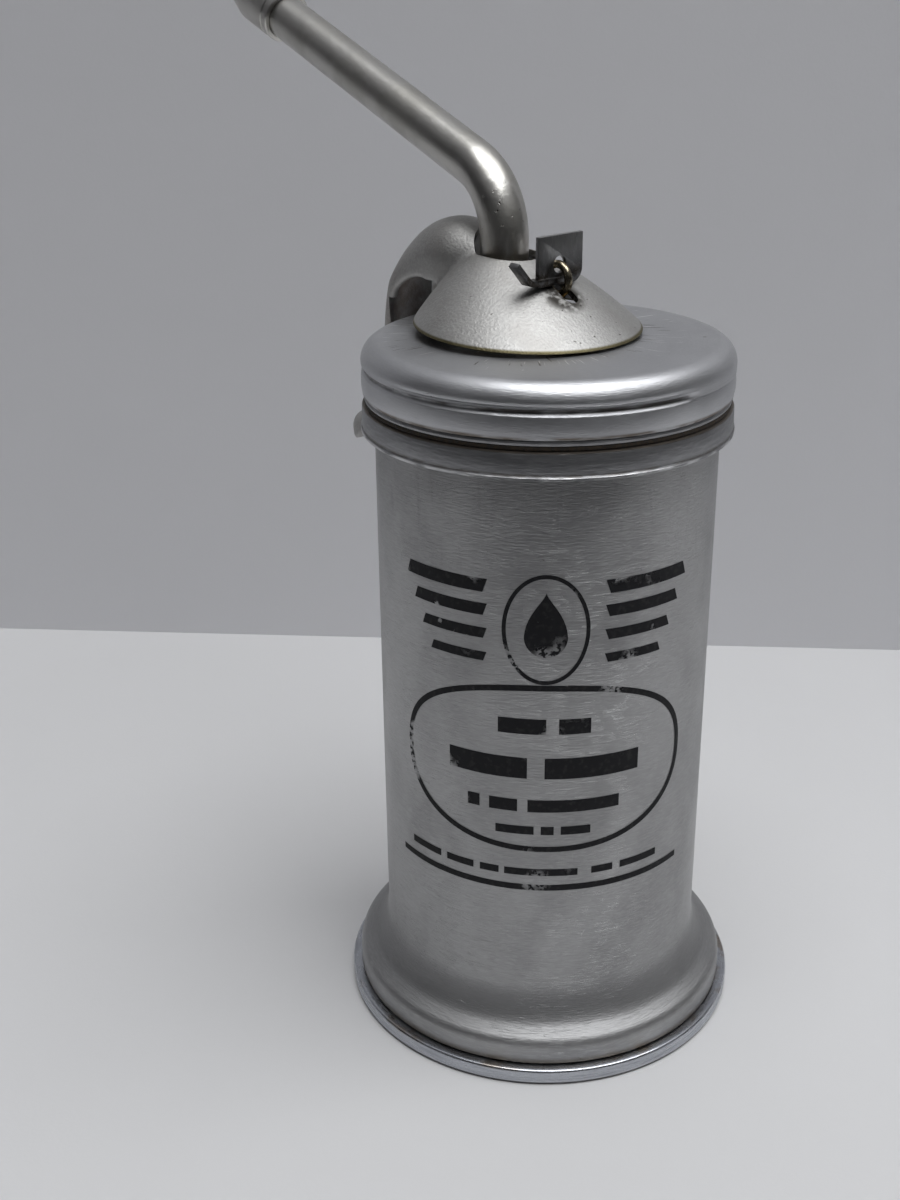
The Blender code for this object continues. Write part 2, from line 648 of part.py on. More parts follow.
def make_rod(looks, low):
    bm = bmesh.new()
    shank_top = EYE_Z - EYE_R
    prism(bm, arc(ROD_X, 0, ROD_R, 0, 360, 20)[:-1], low - 0.6, shank_top)
    rod = finish("pull_rod", bm, looks["rod"], at=(ROD_X, 0, 0))
    bm = bmesh.new()
    sweep(bm, arc(ROD_X, EYE_Z, EYE_R, 0, 360, 24)[:-1], circle_section(EYE_WIRE, 12), wrap=True)
    boolean(rod, finish("rod_eye", bm, None, cutter=True), "UNION")


def make_clip(looks):
    """Bent strip through the eye: an upright plate with a hole and a tail turned up at one end."""
    low = EYE_Z - CLIP_DROP
    bm = bmesh.new()
    half = CLIP_T / 2
    y = CLIP_HALF_Y
    base = low + CLIP_T
    plate = [(-y, low + CLIP_CORNER), (-y + 1.0, low), (y, low), (y, low + CLIP_H), (-y, low + CLIP_H)]
    prism(bm, plate, ROD_X - half, ROD_X + half, "x")
    clip = finish("lock_clip", bm, looks["clip"], at=(ROD_X, 0, low))
    bm = bmesh.new()
    strip = [(-y + CLIP_CORNER, low), (y + 1.8, low), (y + 4.4, low + 2.9), (y + 3.9, low + 3.4)]
    strip += [(y + 1.5, base), (-y + CLIP_CORNER, base)]
    prism(bm, strip, ROD_X - CLIP_STRIP_HALF, ROD_X + CLIP_STRIP_HALF, "x")
    boolean(clip, finish("clip_strip", bm, None, cutter=True), "UNION")
    hole_z = EYE_Z + EYE_R
    boolean(clip, rod_cutter("clip_hole", CLIP_HOLE_R, ROD_X - 2, ROD_X + 2, "x", (0, hole_z), 20))


def make_discharge_valve(looks):
    low, _ = head_levels()
    centre = low + VALVE_SEAT_H + BALL_R + BALL_EASE
    ball("discharge_ball", BALL_R, SPOUT_X, centre, looks["ball"])
    spring_low = centre + BALL_R + BALL_EASE
    coil("discharge_spring", looks["wire"], SPOUT_X, spring_low, spring_low + SMALL_SPRING_H,
         SMALL_SPRING_R, SMALL_WIRE, 4)


def build():
    clear_scene()
    looks = {
        "can": material("can", (0.62, 0.62, 0.63), 0.38, 1.0),
        "rim": material("rim", (0.70, 0.71, 0.74), 0.22, 1.0),
        "plate": material("plate", (0.60, 0.60, 0.61), 0.45, 1.0),
        "neck": material("neck", (0.46, 0.47, 0.48), 0.42, 1.0),
        "cap": material("cap", (0.62, 0.63, 0.65), 0.34, 1.0),
        "cork": material("cork", (0.18, 0.12, 0.07), 0.9, 0.0),
        "lever": material("lever", (0.66, 0.66, 0.65), 0.42, 1.0),
        "spout": material("spout", (0.60, 0.59, 0.56), 0.32, 1.0),
        "clip": material("clip", (0.30, 0.30, 0.31), 0.4, 1.0),
        "rod": material("rod", (0.72, 0.70, 0.64), 0.25, 1.0),
        "brass": material("brass", (0.60, 0.45, 0.20), 0.35, 1.0),
        "casting": material("casting", (0.45, 0.45, 0.46), 0.5, 1.0),
        "tube": material("tube", (0.62, 0.60, 0.55), 0.3, 1.0),
        "steel": material("steel", (0.45, 0.45, 0.45), 0.4, 1.0),
        "wire": material("wire", (0.42, 0.42, 0.43), 0.3, 1.0),
        "ball": material("ball", (0.75, 0.75, 0.76), 0.12, 1.0),
        "leather": material("leather", (0.16, 0.09, 0.05), 0.75, 0.0),
    }
    pivot = bpy.data.objects.new("lever_pivot", None)
    bpy.context.scene.collection.objects.link(pivot)
    pivot.location = Vector((PIVOT_X, 0, PIVOT_Z)) * MM
    bpy.context.view_layer.update()
    make_can(looks)
    make_seal(looks)
    make_cap(looks)
    make_pump_head(looks)
    make_fittings(looks)
    rod_low = make_pump(looks)
    make_foot_valve(looks)
    make_discharge_valve(looks)
    make_spout(looks)
    make_fulcrum(looks, pivot)
    make_lever(looks, pivot)
    make_rod(looks, rod_low)
    make_clip(looks)


build()
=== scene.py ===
"""Looks of a hand-held pump oiler: a satin aluminium can with a screw cap, a plated trigger lever,
a fixed bent spout and the clip that holds the pump's rod eye. Lengths are in millimetres and are
turned to metres when a mesh is written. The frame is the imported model's: +Z up, +X towards the spout.
"""

import json
from math import copysign, cos, degrees, pi, radians, sin, tan, tau

import bmesh
import bpy
from mathutils import Matrix, Vector


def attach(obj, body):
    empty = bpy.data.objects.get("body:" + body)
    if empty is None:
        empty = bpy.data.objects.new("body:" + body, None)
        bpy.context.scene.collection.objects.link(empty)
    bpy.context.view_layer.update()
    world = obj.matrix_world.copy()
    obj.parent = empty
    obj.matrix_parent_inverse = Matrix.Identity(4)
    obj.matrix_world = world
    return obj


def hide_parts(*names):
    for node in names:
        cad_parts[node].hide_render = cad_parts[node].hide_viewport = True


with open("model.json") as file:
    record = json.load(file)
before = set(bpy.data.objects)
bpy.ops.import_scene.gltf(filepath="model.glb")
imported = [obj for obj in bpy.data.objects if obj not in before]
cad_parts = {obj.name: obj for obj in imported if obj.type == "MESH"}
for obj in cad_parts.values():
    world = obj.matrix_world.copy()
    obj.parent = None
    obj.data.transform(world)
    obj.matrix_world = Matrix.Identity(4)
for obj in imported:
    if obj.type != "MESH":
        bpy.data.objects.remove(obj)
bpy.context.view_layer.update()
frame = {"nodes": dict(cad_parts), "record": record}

MM = 0.001
ROUND = 144  # facets round the can and its cap
FITTING = 64  # facets round tubes and fittings
SKIRT_STEPS = 120  # facets round the lever's skirt

# Can
BODY_R = 24.0
WALL = 0.7
BODY_TOP = 99.6
SIDE_TOP = 90.0  # of the plain side, under the neck ring
FLARE_R = 28.6
FLARE_TOP = 14.6
FLARE_WIDE = 3.3
FLARE_DEEP = 7.5
FLARE_TURN = 1.8
FLARE_TURN_Z = 5.1
RIM_R = 30.0
RIM_H = 2.5
NECK_LOW = 90.7
NECK_TOP = 94.4
NECK_R = 25.8
THREAD_TOP = BODY_TOP - 0.5
THREAD_LOW = NECK_TOP + 1.0
THREAD_START = 96.0
THREAD_RISE = 2.4
THREAD_DEPTH = 0.32
THREAD_HALF = 0.75
CORK_LOW = NECK_TOP + 0.05
CORK_TOP = NECK_TOP + 0.6
BAND_LOW = NECK_TOP + 0.65
BAND_TOP = NECK_TOP + 1.3

# Screw cap
CAP_R = 25.7
CAP_LOW = 95.8
CAP_TOP = 103.0
CAP_WALL = 0.8
SHOULDER = 2.8
GROOVE_Z = 99.4
GROOVE_DEPTH = 0.55
GROOVE_HALF = 0.75
GROOVE_END = 185  # degrees round the can where the rolled thread runs out
BELLY = 0.22  # the most that the side sinks between its top and its lower lip
ROD_HOLE_R = 3.5
SPOUT_HOLE_R = 4.2

# Pump and spout
ROD_X = -1.8
ROD_R = 1.0
ROD_LOW = 53.4
SPOUT_X = 8.9
SPOUT_R = 3.4
SPOUT_END_R = 3.2
SPOUT_WALL = 0.9
SPOUT_FOOT_R = 3.9
BEND_R = 10.5
CORNER_Z = 122.1
RISE = radians(22.2)
RUN = 58.0
FOOT_Z = 104.5
TIP_R = 3.9
TIP_BACK = 4.0  # of the nozzle's socket behind the spout's end
TIP_LEN = 12.0
TIP_BORE_R = 0.9
EYE_R = 2.0
EYE_WIRE = 0.55
EYE_Z = 111.0
CLIP_HALF = 3.85
CLIP_EXTRA = 0.35  # more width on the side away from the tail
CLIP_H = 6.2
CLIP_DROP = 0.3
CLIP_CORNER = 1.9
CLIP_PLATE = 0.35  # half its thickness
CLIP_STRIP = 0.85  # half the foot strip's width
CLIP_HOLE_R = 1.15

# Lever
SHEET = 0.7
SKIRT_X = 4.0
SKIRT_R = 16.0
SKIRT_Z = 103.4
SKIRT_TILT = tan(radians(2.5))
CROWN_R = 4.6
CROWN_H = 9.8
HOOP_HALF = 6.2
HOOP_DEPTH = 8.4
NOTCH_X = (13.0, 21.5)
NOTCH_HALF = 5.4
NOTCH_TOP = 109.6
HOLE_X = (3.4, 13.1)
HOLE_HALF = 4.15
SLOT_X = (-5.2, 1.2)
SLOT_HALF = 1.15
VOXEL = 0.32

# Printed panel, by angle round the can and height
PANEL_ANGLE = 137.0
PANEL_OFF = 0.03
OVAL_HALF = 21.4
OVAL_H = 12.5
OVAL_Z = 48.7

# Camera, lights and room are placed as seen from the front, in metres: x right, y away, z up
VIEW_TURN = radians(-130)
CAMERA_PLACE = (-0.01376, -0.20268, 0.15027)
CAMERA_DOWN = radians(23.07)
CAMERA_ROLL = radians(0.645)
LENS = 45.01
TABLE_LEFT = (-0.125, 0.1355)
TABLE_RIGHT = (0.092, 0.117)
TABLE_FRONT = -0.17
ROOM_REACH = 2.0
WALL_END = 0.22  # of the wall past the table's right mark

VECTOR = "NodeSocketVector"
NUMBER = "NodeSocketFloat"
COLOUR_A, COLOUR_B, COLOUR_OUT = 6, 7, 2  # a mix node's sockets when it mixes colours


# ---- meshes

def new_object(name, data):
    obj = bpy.data.objects.new(name, data)
    bpy.context.scene.collection.objects.link(obj)
    return obj


def write_piece(name, bm, look, body, node, slot, angle=35):
    """Turns bm from millimetres to a finished piece that rides on a body and stands for a node."""
    bmesh.ops.remove_doubles(bm, verts=bm.verts, dist=0.0005)
    bmesh.ops.recalc_face_normals(bm, faces=bm.faces)
    bmesh.ops.scale(bm, verts=bm.verts, vec=(MM, MM, MM))
    mesh = bpy.data.meshes.new(name)
    bm.to_mesh(mesh)
    bm.free()
    mesh.shade_smooth()
    mesh.set_sharp_from_angle(angle=radians(angle))
    mesh.materials.append(look)
    piece = new_object(name, mesh)
    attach(piece, body)
    if node:
        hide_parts(node)
    return piece


def scratch_object(name, bm):
    """A helper mesh in millimetres, for cutting and joining; it is removed after use."""
    bmesh.ops.remove_doubles(bm, verts=bm.verts, dist=0.0005)
    bmesh.ops.recalc_face_normals(bm, faces=bm.faces)
    mesh = bpy.data.meshes.new(name)
    bm.to_mesh(mesh)
    bm.free()
    return new_object(name, mesh)


def modified(obj, kind, **settings):
    """Applies one modifier to a helper mesh."""
    mod = obj.modifiers.new(kind, kind)
    for key, value in settings.items():
        setattr(mod, key, value)
    graph = bpy.context.evaluated_depsgraph_get()
    mesh = bpy.data.meshes.new_from_object(obj.evaluated_get(graph))
    obj.modifiers.clear()
    obj.data = mesh
    return obj


def combined(obj, tool, operation="DIFFERENCE"):
    """Cuts a helper by another, or joins them, and removes the other."""
    modified(obj, "BOOLEAN", object=tool, operation=operation, solver="MANIFOLD")
    bpy.data.objects.remove(tool, do_unlink=True)
    return obj


def taken(obj):
    """The helper's mesh as a bmesh, with the helper removed."""
    bm = bmesh.new()
    bm.from_mesh(obj.data)
    bpy.data.objects.remove(obj, do_unlink=True)
    return bm


def skin(bm, rings, wrap=False):
    """Joins equal closed rings of points, and either wraps the last to the first or closes both ends."""
    made = [[bm.verts.new(p) for p in points] for points in rings]
    pairs = list(zip(made, made[1:] + made[:1] if wrap else made[1:]))
    count = len(rings[0])
    for one, two in pairs:
        for i in range(count):
            j = (i + 1) % count
            bm.faces.new((one[i], one[j], two[j], two[i]))
    if not wrap:
        bm.faces.new(made[0])
        bm.faces.new(made[-1])


def turned(bm, outline, steps=ROUND, shape=None):
    """Turns a closed (radius, height) outline; shape(radius, height, angle) may move a point in or out."""
    rings = []
    for r, z in outline:
        ring = []
        for i in range(steps):
            a = tau * i / steps
            radius = shape(r, z, a) if shape and r else r
            ring.append((radius * cos(a), radius * sin(a), z))
        rings.append(ring)
    skin(bm, rings, wrap=True)
    bmesh.ops.remove_doubles(bm, verts=bm.verts, dist=0.0005)
    bmesh.ops.dissolve_degenerate(bm, edges=bm.edges, dist=0.0004)


def turned_piece(name, outline, *place, shape=None):
    """A piece turned about the can's axis; place is the rest of what write_piece takes."""
    bm = bmesh.new()
    turned(bm, outline, shape=shape)
    write_piece(name, bm, *place)


def arc(cx, cz, radius, start, end, count):
    """Points on part of a circle, both ends included; the angles are in degrees."""
    angles = [radians(start + (end - start) * i / count) for i in range(count + 1)]
    return [(cx + radius * cos(a), cz + radius * sin(a)) for a in angles]


def stepped(a, b, count):
    """Points evenly from a to b, leaving b out."""
    return [(a[0] + (b[0] - a[0]) * i / count, a[1] + (b[1] - a[1]) * i / count) for i in range(count)]


def prism_solid(name, outline, low, high, along_x=False):
    """A helper solid: a flat outline carried from low to high, upwards or along x."""
    bm = bmesh.new()
    skin(bm, [[(w, u, v) if along_x else (u, v, w) for u, v in outline] for w in (low, high)])
    return scratch_object(name, bm)


def sweep(bm, path, section, wrap=False):
    """Carries section(i), as (inward, across) pairs, along a path in the lever plane."""
    rings = []
    for i, (x, z) in enumerate(path):
        before = path[i - 1] if i or wrap else path[i]
        after = path[(i + 1) % len(path)] if i + 1 < len(path) or wrap else path[i]
        along = Vector((after[0] - before[0], after[1] - before[1])).normalized()
        rings.append([(x + along.y * d, y, z - along.x * d) for d, y in section(i)])
    skin(bm, rings, wrap)


def catmull(points, count):
    """A smooth curve through the points, count stretches to each span."""
    path = []
    for i in range(len(points) - 1):
        a = Vector(points[max(i - 1, 0)])
        b, c = Vector(points[i]), Vector(points[i + 1])
        d = Vector(points[min(i + 2, len(points) - 1)])
        for k in range(count):
            t = k / count
            path.append(tuple(0.5 * (2 * b + (c - a) * t + (2 * a - 5 * b + 4 * c - d) * t * t
                                     + (3 * b - a - 3 * c + d) * t ** 3)))
    return path + [tuple(points[-1])]


def hump(value, half):
    """1 at 0, falling smoothly to 0 at half either side."""
    share = min(1.0, abs(value) / half)
    return (1 - share * share) ** 2


def ramp(value, low, high):
    """0 at low and 1 at high, smooth between; high may be the smaller."""
    share = min(1.0, max(0.0, (value - low) / (high - low)))
    return share * share * (3 - 2 * share)


# ---- shader groups

def add_node(tree, kind, links=None, **values):
    """Adds a node; values set its properties or inputs, and links feed its inputs from other sockets."""
    node = tree.nodes.new("ShaderNode" + kind)
    for key, value in values.items():
        name = key.replace("_", " ")
        if hasattr(node, key):
            setattr(node, key, value)
        else:
            node.inputs[name].default_value = value
    for key, source in (links or {}).items():
        tree.links.new(source, node.inputs[key])
    return node


def new_group(name, inputs, result):
    """A shader group with a Vector input, more inputs by name, and one value that it puts out."""
    group = bpy.data.node_groups.new(name, "ShaderNodeTree")
    group.interface.new_socket("Vector", in_out="INPUT", socket_type=VECTOR)
    for label, (kind, value) in inputs.items():
        socket = group.interface.new_socket(label, in_out="INPUT", socket_type=kind)
        socket.default_value = value
    group.interface.new_socket(result, in_out="OUTPUT", socket_type=NUMBER)
    source = group.nodes.new("NodeGroupInput")
    out = group.nodes.new("NodeGroupOutput")
    return group, source.outputs, out.inputs[result]


def math_node(tree, operation, a, b=None, clamp=False):
    """The result of a math node; a and b are numbers or sockets."""
    node = tree.nodes.new("ShaderNodeMath")
    node.operation = operation
    node.use_clamp = clamp
    for i, value in enumerate((a, b)):
        if value is None:
            continue
        if isinstance(value, (int, float)):
            node.inputs[i].default_value = value
        else:
            tree.links.new(value, node.inputs[i])
    return node.outputs[0]


def step_between(tree, value, low, high):
    """0 below low, 1 above high, smooth between; high may be the smaller."""
    node = add_node(tree, "MapRange", {"Value": value}, interpolation_type="SMOOTHSTEP",
                    From_Min=low, From_Max=high)
    return node.outputs["Result"]


def make_grain():
    """Fine grain, stretched along one direction, from 0 to 1 about 0.5."""
    inputs = {"Scale": (NUMBER, 3.0), "Stretch": (VECTOR, (1, 1, 1)), "Detail": (NUMBER, 3.0)}
    group, given, out = new_group("grain", inputs, "Value")
    links = {0: given["Vector"], 1: given["Stretch"]}
    placed = add_node(group, "VectorMath", links, operation="MULTIPLY")
    links = {"Vector": placed.outputs[0], "Scale": given["Scale"], "Detail": given["Detail"]}
    group.links.new(add_node(group, "TexNoise", links).outputs["Fac"], out)
    return group


def make_specks():
    """Scattered small round spots of uneven size; Amount is the share of cells that hold one."""
    inputs = {"Scale": (NUMBER, 1.0), "Amount": (NUMBER, 0.3), "Size": (NUMBER, 0.25)}
    group, given, out = new_group("specks", inputs, "Mask")
    wobble = add_node(group, "TexNoise", {"Vector": given["Vector"]}, Scale=2.2)
    links = {0: given["Vector"], 1: wobble.outputs["Color"]}
    shifted = add_node(group, "VectorMath", links, operation="ADD")
    links = {"Vector": shifted.outputs[0], "Scale": given["Scale"]}
    cells = add_node(group, "TexVoronoi", links)
    pick = add_node(group, "SeparateColor", {0: cells.outputs["Color"]})
    chosen = math_node(group, "LESS_THAN", pick.outputs[0], given["Amount"])
    uneven = math_node(group, "ADD", pick.outputs[1], 0.25)
    reach = math_node(group, "MULTIPLY", uneven, given["Size"])
    share = math_node(group, "DIVIDE", cells.outputs["Distance"], reach)
    inside = math_node(group, "SUBTRACT", 1, share, clamp=True)
    soft = step_between(group, inside, 0.0, 0.45)
    group.links.new(math_node(group, "MULTIPLY", chosen, soft), out)
    return group


def make_scratches():
    """Sparse thin scratches, longest in the direction that Stretch draws together least."""
    inputs = {"Stretch": (VECTOR, (1, 1, 1)), "Scale": (NUMBER, 1.0), "Amount": (NUMBER, 0.3)}
    group, given, out = new_group("scratches", inputs, "Mask")
    links = {0: given["Vector"], 1: given["Stretch"]}
    thin = add_node(group, "VectorMath", links, operation="MULTIPLY")
    links = {"Vector": thin.outputs[0], "Scale": given["Scale"]}
    lines = add_node(group, "TexNoise", links, Detail=1.0)
    near = math_node(group, "ABSOLUTE", math_node(group, "SUBTRACT", lines.outputs["Fac"], 0.5))
    line = step_between(group, near, 0.012, 0.003)
    patches = add_node(group, "TexNoise", {"Vector": given["Vector"]}, Scale=0.35, Detail=2.0)
    level = math_node(group, "SUBTRACT", 0.75, math_node(group, "MULTIPLY", given["Amount"], 0.5))
    open_patch = math_node(group, "GREATER_THAN", patches.outputs["Fac"], level)
    group.links.new(math_node(group, "MULTIPLY", line, open_patch), out)
    return group


grain_group = make_grain()
speck_group = make_specks()
scratch_group = make_scratches()


class Look:
    """A material being built: its tree, its Principled shader and short ways to add to it."""

    def __init__(self, name, colour, roughness, metallic=1.0):
        self.material = bpy.data.materials.new(name)
        self.material.use_nodes = True
        self.tree = self.material.node_tree
        self.shader = self.tree.nodes["Principled BSDF"]
        self.shader.inputs["Metallic"].default_value = metallic
        self.find_place()
        self.colour = colour
        self.rough = roughness
        self.bumps = []

    def find_place(self):
        """Sets solid, the place on the object in millimetres, and unrolled, the same rolled out flat."""
        coord = add_node(self.tree, "TexCoord")
        links = {0: coord.outputs["Object"]}
        scale = add_node(self.tree, "VectorMath", links, operation="SCALE", Scale=1 / MM)
        self.solid = scale.outputs[0]
        x, y, self.height = add_node(self.tree, "SeparateXYZ", {0: self.solid}).outputs
        angle = math_node(self.tree, "ARCTAN2", self.times(y, -1), self.times(x, -1))
        self.radius = math_node(self.tree, "SQRT", self.sum_of_squares(x, y))
        links = {0: self.times(angle, BODY_R), 1: self.radius, 2: self.height}
        self.unrolled = add_node(self.tree, "CombineXYZ", links).outputs[0]

    def use(self, group, vector, **values):
        """Places a shared group at a vector, by default the place on the object, and gives its output."""
        links = {"Vector": vector or self.solid}
        return add_node(self.tree, "Group", links, node_tree=group, **values).outputs[0]

    def grain(self, scale, stretch=(1, 1, 1), detail=3.0, vector=None):
        return self.use(grain_group, vector, Scale=scale, Stretch=stretch, Detail=detail)

    def specks(self, scale, amount, size, vector=None):
        return self.use(speck_group, vector, Scale=scale, Amount=amount, Size=size)

    def scratches(self, scale, stretch, amount, vector=None):
        return self.use(scratch_group, vector, Scale=scale, Stretch=stretch, Amount=amount)

    def band(self, value, low, high, soft):
        """1 between two values of a socket, with soft edges."""
        return self.times(step_between(self.tree, value, low - soft, low + soft),
                          step_between(self.tree, value, high + soft, high - soft))

    def spokes(self, centre_x, arc_scale, length_scale, amount, size, inner, outer):
        """Short marks pointing away from an upright axis at centre_x, between two distances from it."""
        x, y, _ = add_node(self.tree, "SeparateXYZ", {0: self.solid}).outputs
        x = math_node(self.tree, "SUBTRACT", x, centre_x)
        away = math_node(self.tree, "SQRT", self.sum_of_squares(x, y))
        arc_length = self.times(math_node(self.tree, "ARCTAN2", y, x), arc_scale)
        along = self.times(away, length_scale)
        join = add_node(self.tree, "CombineXYZ", {0: arc_length, 1: along})
        marks = self.specks(1.0, amount, size, join.outputs[0])
        return self.times(marks, self.band(away, inner, outer, 0.4))

    def sum_of_squares(self, x, y):
        return math_node(self.tree, "ADD", self.times(x, x), self.times(y, y))

    def times(self, a, b):
        return math_node(self.tree, "MULTIPLY", a, b)

    def plus(self, a, b):
        return math_node(self.tree, "ADD", a, b, clamp=True)

    def over(self, value, low, high):
        return step_between(self.tree, value, low, high)

    def near(self, point, inner, outer):
        """1 within inner of a point, falling to 0 at outer, in millimetres."""
        away = add_node(self.tree, "VectorMath", {0: self.solid}, operation="DISTANCE")
        away.inputs[1].default_value = point
        return self.over(away.outputs["Value"], outer, inner)

    def tint(self, mask, colour, share=1.0):
        """Lays a colour over what is there, by a mask."""
        mix = add_node(self.tree, "Mix", data_type="RGBA")
        self.feed(mix.inputs[COLOUR_A], self.colour)
        mix.inputs[COLOUR_B].default_value = (*colour, 1)
        self.feed(mix.inputs[0], self.times(mask, share))
        self.colour = mix.outputs[COLOUR_OUT]

    def dull(self, mask, roughness, share=1.0):
        """Moves the roughness towards a value, by a mask."""
        mix = add_node(self.tree, "Mix")
        self.feed(mix.inputs[2], self.rough)
        mix.inputs[3].default_value = roughness
        self.feed(mix.inputs[0], self.times(mask, share))
        self.rough = mix.outputs[0]

    def bump(self, value, depth):
        """Adds relief; depth is in millimetres for a change of 1."""
        self.bumps.append((value, depth))

    def feed(self, socket, value):
        if isinstance(value, (int, float)):
            socket.default_value = value
        elif isinstance(value, tuple):
            socket.default_value = (*value, 1) if len(value) == 3 else value
        else:
            self.tree.links.new(value, socket)

    def done(self):
        self.feed(self.shader.inputs["Base Color"], self.colour)
        self.feed(self.shader.inputs["Roughness"], self.rough)
        normal = None
        for value, depth in self.bumps:
            bump = add_node(self.tree, "Bump", {"Height": value}, Distance=depth * MM)
            if normal:
                self.tree.links.new(normal, bump.inputs["Normal"])
            normal = bump.outputs["Normal"]
        if normal:
            self.tree.links.new(normal, self.shader.inputs["Normal"])
        return self.material


# ---- materials

def can_aluminium():
    """Satin drawn aluminium: brushed grain, faint scratches, painted shade in the hollow of the flare and
    towards the neck ring, and a brownish band at the foot.
    """
    look = Look("can_aluminium", (0.37, 0.37, 0.371), 0.42)
    fine = look.grain(2.6, (0.35, 1, 2.2), 4, look.unrolled)
    cloud = look.grain(0.09, (1, 1, 0.7), 4, look.unrolled)
    look.tint(look.over(cloud, 0.42, 0.66), (0.31, 0.31, 0.312), 0.7)
    look.tint(look.over(fine, 0.35, 0.75), (0.47, 0.47, 0.472), 0.45)
    look.dull(look.over(cloud, 0.40, 0.62), 0.50)
    upright = look.scratches(0.5, (6, 1, 0.35), 0.35, vector=look.unrolled)
    around = look.scratches(0.5, (0.25, 1, 7), 0.55, vector=look.unrolled)
    look.tint(look.plus(upright, around), (0.55, 0.55, 0.55), 0.12)
    spots = look.specks(0.55, 0.07, 0.10, look.unrolled)
    look.tint(spots, (0.16, 0.15, 0.13), 0.6)
    streaks = look.over(look.grain(0.5, (1.6, 1, 0.22), 3, look.unrolled), 0.56, 0.74)
    look.tint(look.times(streaks, look.over(look.height, 58.0, 92.0)), (0.22, 0.22, 0.22), 0.3)
    dents = look.grain(0.05, detail=1, vector=look.unrolled)
    # Painted shade: the concave flare is darkened, standing in for a dark reflection, and made rougher.
    hollow = look.band(look.height, 6.5, 12.0, 1.6)
    look.tint(hollow, (0.25, 0.25, 0.252), 0.6)
    look.dull(hollow, 0.56)
    foot = look.band(look.height, 2.0, 3.4, 0.5)
    look.tint(foot, (0.16, 0.13, 0.09), 0.6)
    # Painted shade, with some grime: the side darkens towards the neck ring.
    shade = look.over(look.height, 82.0, 91.5)
    look.tint(shade, (0.24, 0.24, 0.24), 0.4)
    look.bump(dents, 0.9)
    look.bump(fine, 0.05)
    look.bump(around, 0.02)
    return look.done()


def cap_aluminium():
    """Spun aluminium with grime in the rolled thread and short marks left by the skirt's edge."""
    look = Look("cap_aluminium", (0.50, 0.505, 0.52), 0.42)
    fine = look.grain(3.2, (0.3, 1, 2.5), 4, look.unrolled)
    cloud = look.grain(0.12)
    look.tint(look.over(fine, 0.35, 0.75), (0.57, 0.57, 0.59), 0.4)
    look.tint(look.over(cloud, 0.45, 0.7), (0.46, 0.465, 0.48), 0.6)
    look.dull(look.over(cloud, 0.4, 0.65), 0.48)
    breakup = look.over(look.grain(0.55, (0.3, 1, 1), 3, look.unrolled), 0.3, 0.6)
    groove = look.band(look.height, GROOVE_Z - 0.25, GROOVE_Z + 0.32, 0.14)
    wall = look.over(look.radius, CAP_R - 0.25, CAP_R - 0.45)
    look.tint(look.times(look.times(groove, wall), breakup), (0.05, 0.04, 0.03), 0.85)
    edge = look.band(look.height, CAP_LOW - 0.6, CAP_LOW + 0.42, 0.16)
    look.tint(look.times(edge, breakup), (0.10, 0.065, 0.03), 0.8)
    look.dull(look.plus(groove, edge), 0.6, 0.7)
    specks = look.specks(0.42, 0.14, 0.14)
    look.tint(specks, (0.12, 0.10, 0.08), 0.7)
    top = look.over(look.height, CAP_TOP - 0.3, CAP_TOP - 0.05)
    bright = look.spokes(SKIRT_X - 1.0, 90, 0.28, 0.055, 0.70, SKIRT_R, SKIRT_R + 5.0)
    look.tint(look.times(bright, top), (0.85, 0.85, 0.85), 0.9)
    dark = look.spokes(SKIRT_X + 2.0, 80, 0.35, 0.05, 0.66, SKIRT_R - 1, SKIRT_R + 5)
    look.tint(look.times(dark, top), (0.08, 0.07, 0.06), 0.8)
    look.bump(look.grain(0.06, detail=1, vector=look.unrolled), 0.5)
    look.bump(fine, 0.04)
    look.bump(specks, -0.03)
    return look.done()


def neck_metal():
    """Grey ring with a bright worn lower lip and a rusty line along its top."""
    look = Look("neck_metal", (0.27, 0.272, 0.28), 0.46)
    fine = look.grain(2.0, (0.3, 1, 1.6), 4, look.unrolled)
    look.tint(look.over(fine, 0.35, 0.7), (0.36, 0.362, 0.37), 0.6)
    lip = look.band(look.height, NECK_LOW - 0.4, NECK_LOW + 0.42, 0.08)
    lip = look.times(lip, look.over(look.grain(0.7, (0.4, 1, 1), 3, look.unrolled), 0.40, 0.58))
    look.tint(lip, (0.66, 0.66, 0.67), 0.7)
    look.dull(lip, 0.3)
    grime = look.band(look.height, NECK_LOW + 0.45, NECK_LOW + 0.85, 0.15)
    look.tint(look.times(grime, look.over(fine, 0.3, 0.6)), (0.07, 0.055, 0.04), 0.6)
    top = look.band(look.height, NECK_TOP - 0.25, NECK_TOP + 0.15, 0.12)
    look.tint(top, (0.09, 0.06, 0.03), 0.7)
    look.bump(fine, 0.06)
    return look.done()


def rim_steel():
    """Bright rolled steel, stained where it meets the flare, with painted shade along its bottom edge."""
    look = Look("rim_steel", (0.48, 0.495, 0.53), 0.26)
    fine = look.grain(1.2, (0.2, 1, 3), 3, look.unrolled)
    look.tint(look.over(fine, 0.45, 0.7), (0.34, 0.355, 0.39), 0.7)
    look.dull(look.over(fine, 0.4, 0.7), 0.34)
    # Painted shade: a near-black band along the bottom edge, where the rim sits on the table.
    look.tint(look.band(look.height, -0.5, 0.42, 0.12), (0.10, 0.09, 0.08), 0.8)
    stain = look.over(look.grain(0.25, vector=look.unrolled), 0.52, 0.66)
    look.tint(look.times(stain, look.over(look.height, 1.9, 2.5)), (0.22, 0.15, 0.07), 0.55)
    look.bump(fine, 0.03)
    return look.done()


